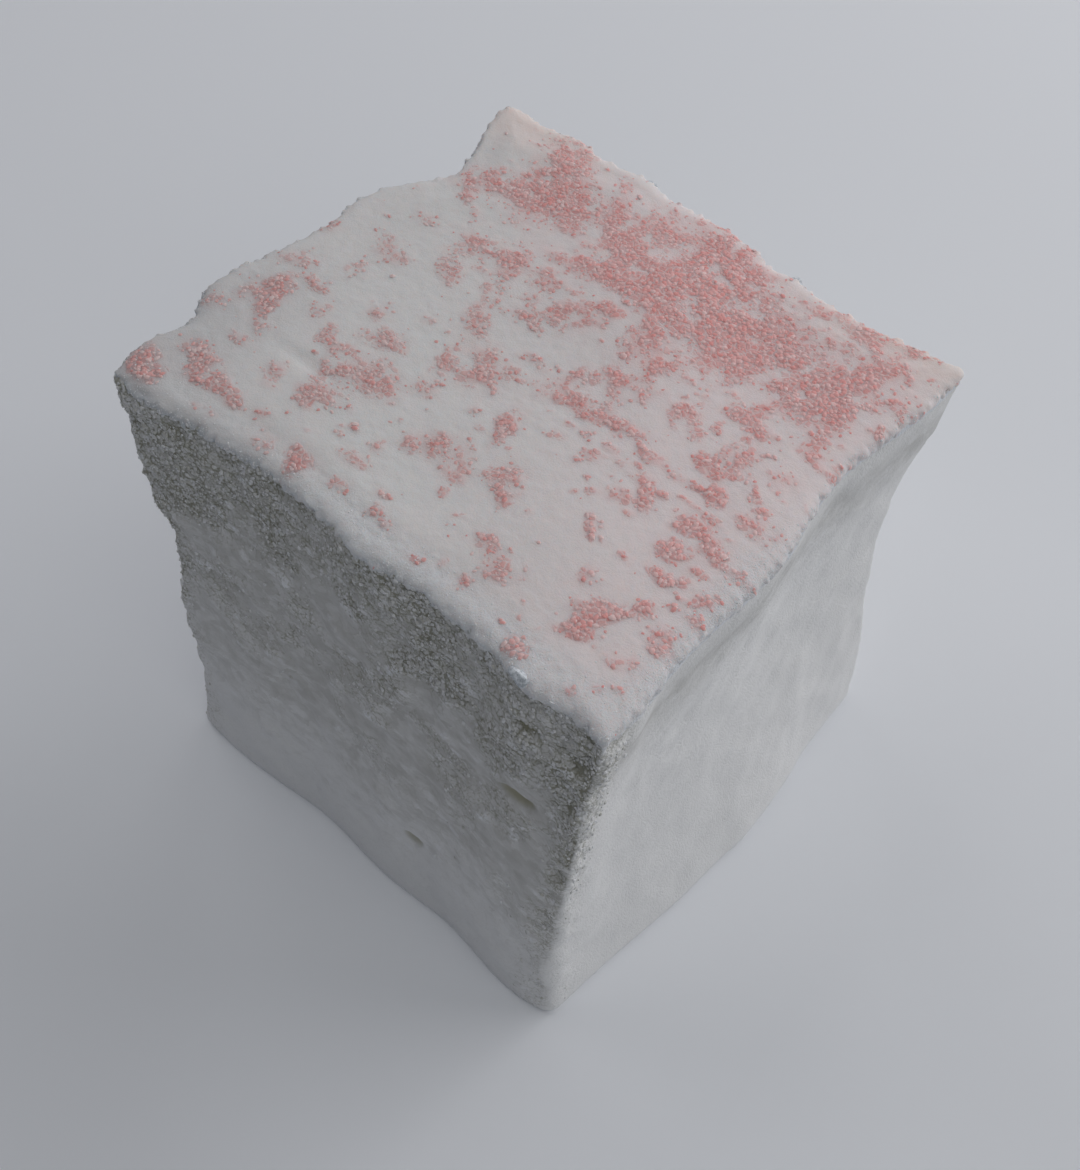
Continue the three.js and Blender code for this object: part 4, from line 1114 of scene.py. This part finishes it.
def make_fruit_crumb(points, triangles, out):
    """Crumbs of fruit, close together where the clumps are and a few strays elsewhere."""
    rng = np.random.default_rng(FRUIT_SEED)
    count, smallest, largest = FRUIT_CRUMB
    stray = 0.01 + 0.05 * ramp(points[:, 1], 4, 10) * ramp(points[:, 0], -13, -9)
    cover = fruit_cover(points[:, 0], points[:, 1], *CRUMB_EDGE)
    weight = ramp(-below_rim(points), -1.0, -0.4) * (cover + stray)
    place, direction = scatter(points, triangles, out, weight, count * CRUMB_TRIES, rng)
    keep = spaced(place, CRUMB_SPACING, rng)
    full = fruit_cover(place[keep, 0], place[keep, 1], *CRUMB_EDGE)
    keep = keep[rng.random(len(keep)) < 0.06 + full]
    keep = rng.permutation(keep)[:count]
    place, direction = place[keep], direction[keep]
    full = fruit_cover(place[:, 0], place[:, 1], *CRUMB_EDGE)
    sizes = mix(smallest, largest, rng.random(len(keep)) ** 1.5) * mix(0.7, 1.1, full)
    crumb, faces, upward = pebbles(dome(6, 3), place, direction, sizes, FRUIT_FORM, rng)
    shade = np.clip(rng.normal(0.4, 0.28, len(keep)) + 0.3 * (full - 0.5), 0, 1)
    fields = {"shade": np.repeat(shade, len(crumb) // len(keep)), "upward": upward,
              "blush": blush(crumb, 1.0)}
    make_piece("fruit_crumb", crumb, faces, fruit_finish(), fields)


def make_foam_crumb(points, triangles, out, torn):
    """Crumbs of foam that the knife tore loose, thickest where the sides are most torn."""
    rng = np.random.default_rng(FOAM_SEED)
    shown = (points[:, 2] > 0.6) & (below_rim(points) > 0.4) & (out[:, 2] < 0.6)
    weight = np.clip(torn - 0.2, 0, 1) ** 2 * shown
    crumb, faces = strewn((points, triangles, out), weight, FOAM_CRUMB, ball(5, 2), FOAM_FORM, rng)
    count = FOAM_CRUMB[0]
    shade = np.repeat(rng.random(count), len(crumb) // count)
    make_piece("foam_crumb", crumb, faces, crumb_finish(), {"shade": shade})


def make_sugar_dust(points, triangles, out):
    """Grains of sugar along the rim, thick at the front, few at the back, and thinly on the skin."""
    rng = np.random.default_rng(DUST_SEED)
    shown = ramp(-below_rim(points), -1.2, -0.9)
    weight = shown * (0.35 * frosting(points) + rim_share(out))
    weight *= mix(0.2, 1, ramp(-points[:, 1], -13, -6))
    dust, faces = strewn((points, triangles, out), weight, SUGAR_DUST, dome(5, 2), DUST_FORM, rng)
    make_piece("sugar_dust", dust, faces, dust_finish(), {})


def make_rim_crumbs():
    """The crumbs that stand out from the rim: balls roughened by noise."""
    shape, quads, caps = ball(20, 11)
    points, faces = [], ([], [])
    for n, (x, y, drop, length, width, height, tilt) in enumerate(RIM_CRUMBS):
        spot = shape + 7.0 * n
        rough = 1 + relief(spot, RIM_CRUMB_LUMPS) + relief(spot, RIM_CRUMB_GRAIN)
        lump = shape * rough[:, None] * (length / 2, width / 2, height / 2)
        c, s = math.cos(math.radians(tilt)), math.sin(math.radians(tilt))
        turned = lump @ np.array([(c, 0, -s), (0, 1, 0), (s, 0, c)])
        points.append(turned + (x, y, HEIGHT - drop))
        faces[0].append(quads + n * len(shape))
        faces[1].append(caps + n * len(shape))
    points = np.concatenate(points)
    faces = [np.concatenate(group) for group in faces]
    make_piece("rim_crumb", points, faces, flake_finish(), {})


# ---------------------------------------------------------------------------------------------
# Floor, light and camera
# ---------------------------------------------------------------------------------------------
def make_floor():
    """A plain pale floor."""
    f = Finish("pale_floor")
    material = f.surface(PALE_FLOOR, 0.9)
    mesh = bpy.data.meshes.new("floor")
    corners = [(x * FLOOR_HALF, y * FLOOR_HALF, 0) for x, y in ((-1, -1), (1, -1), (1, 1), (-1, 1))]
    mesh.from_pydata(corners, [], [(0, 1, 2, 3)])
    mesh.materials.append(material)
    floor = bpy.data.objects.new("floor", mesh)
    bpy.context.scene.collection.objects.link(floor)


def make_light(name, place, size, power, colour):
    """A square soft light that looks at the cube's middle. Place and size are in millimetres."""
    lamp = bpy.data.lights.new(name, "AREA")
    lamp.size = size * MM
    lamp.energy = power
    lamp.color = colour
    light = bpy.data.objects.new(name, lamp)
    light.location = Vector(place) * MM
    aim = Vector((0, 0, HEIGHT / 2 * MM)) - light.location
    light.rotation_mode = "QUATERNION"
    light.rotation_quaternion = aim.to_track_quat("-Z", "Y")
    bpy.context.scene.collection.objects.link(light)


def make_camera():
    """The camera: where it stands, which way it looks and how far it is rolled."""
    around, rise, roll = (math.radians(a) for a in (CAMERA_ROUND, CAMERA_RISE, CAMERA_ROLL))
    back = Vector((math.sin(around) * math.cos(rise), -math.cos(around) * math.cos(rise),
                   math.sin(rise)))
    level = Vector((math.cos(around), math.sin(around), 0))
    upright = back.cross(level)
    right = math.cos(roll) * level + math.sin(roll) * upright
    up = math.cos(roll) * upright - math.sin(roll) * level
    camera = bpy.data.objects.new("camera", bpy.data.cameras.new("camera"))
    camera.data.sensor_width = SENSOR_WIDTH
    camera.data.lens = LENS
    camera.data.clip_start = NEAREST
    camera.data.clip_end = FARTHEST
    turn = Matrix((right, up, back)).transposed().to_4x4()
    camera.matrix_world = Matrix.Translation((CAMERA_AIM + back * CAMERA_DISTANCE) * MM) @ turn
    bpy.context.scene.collection.objects.link(camera)
    bpy.context.scene.camera = camera


def light_the_scene():
    """A large soft key from behind on the right, a weaker one beside it, one from above on the right,
    one from above on the left, and a faint cool sky. Colours are shown without a filmic curve."""
    for light in LIGHTS:
        make_light(*light)
    world = bpy.data.worlds.new("sky")
    world.use_nodes = True
    sky = world.node_tree.nodes["Background"]
    sky.inputs["Color"].default_value = SKY
    sky.inputs["Strength"].default_value = SKY_STRENGTH
    bpy.context.scene.world = world
    bpy.context.scene.view_settings.view_transform = "Standard"


make_foam_crumb(*make_foam())
coat = make_coat()
make_fruit_crumb(*coat)
make_sugar_dust(*coat)
make_rim_crumbs()
make_floor()
light_the_scene()
make_camera()
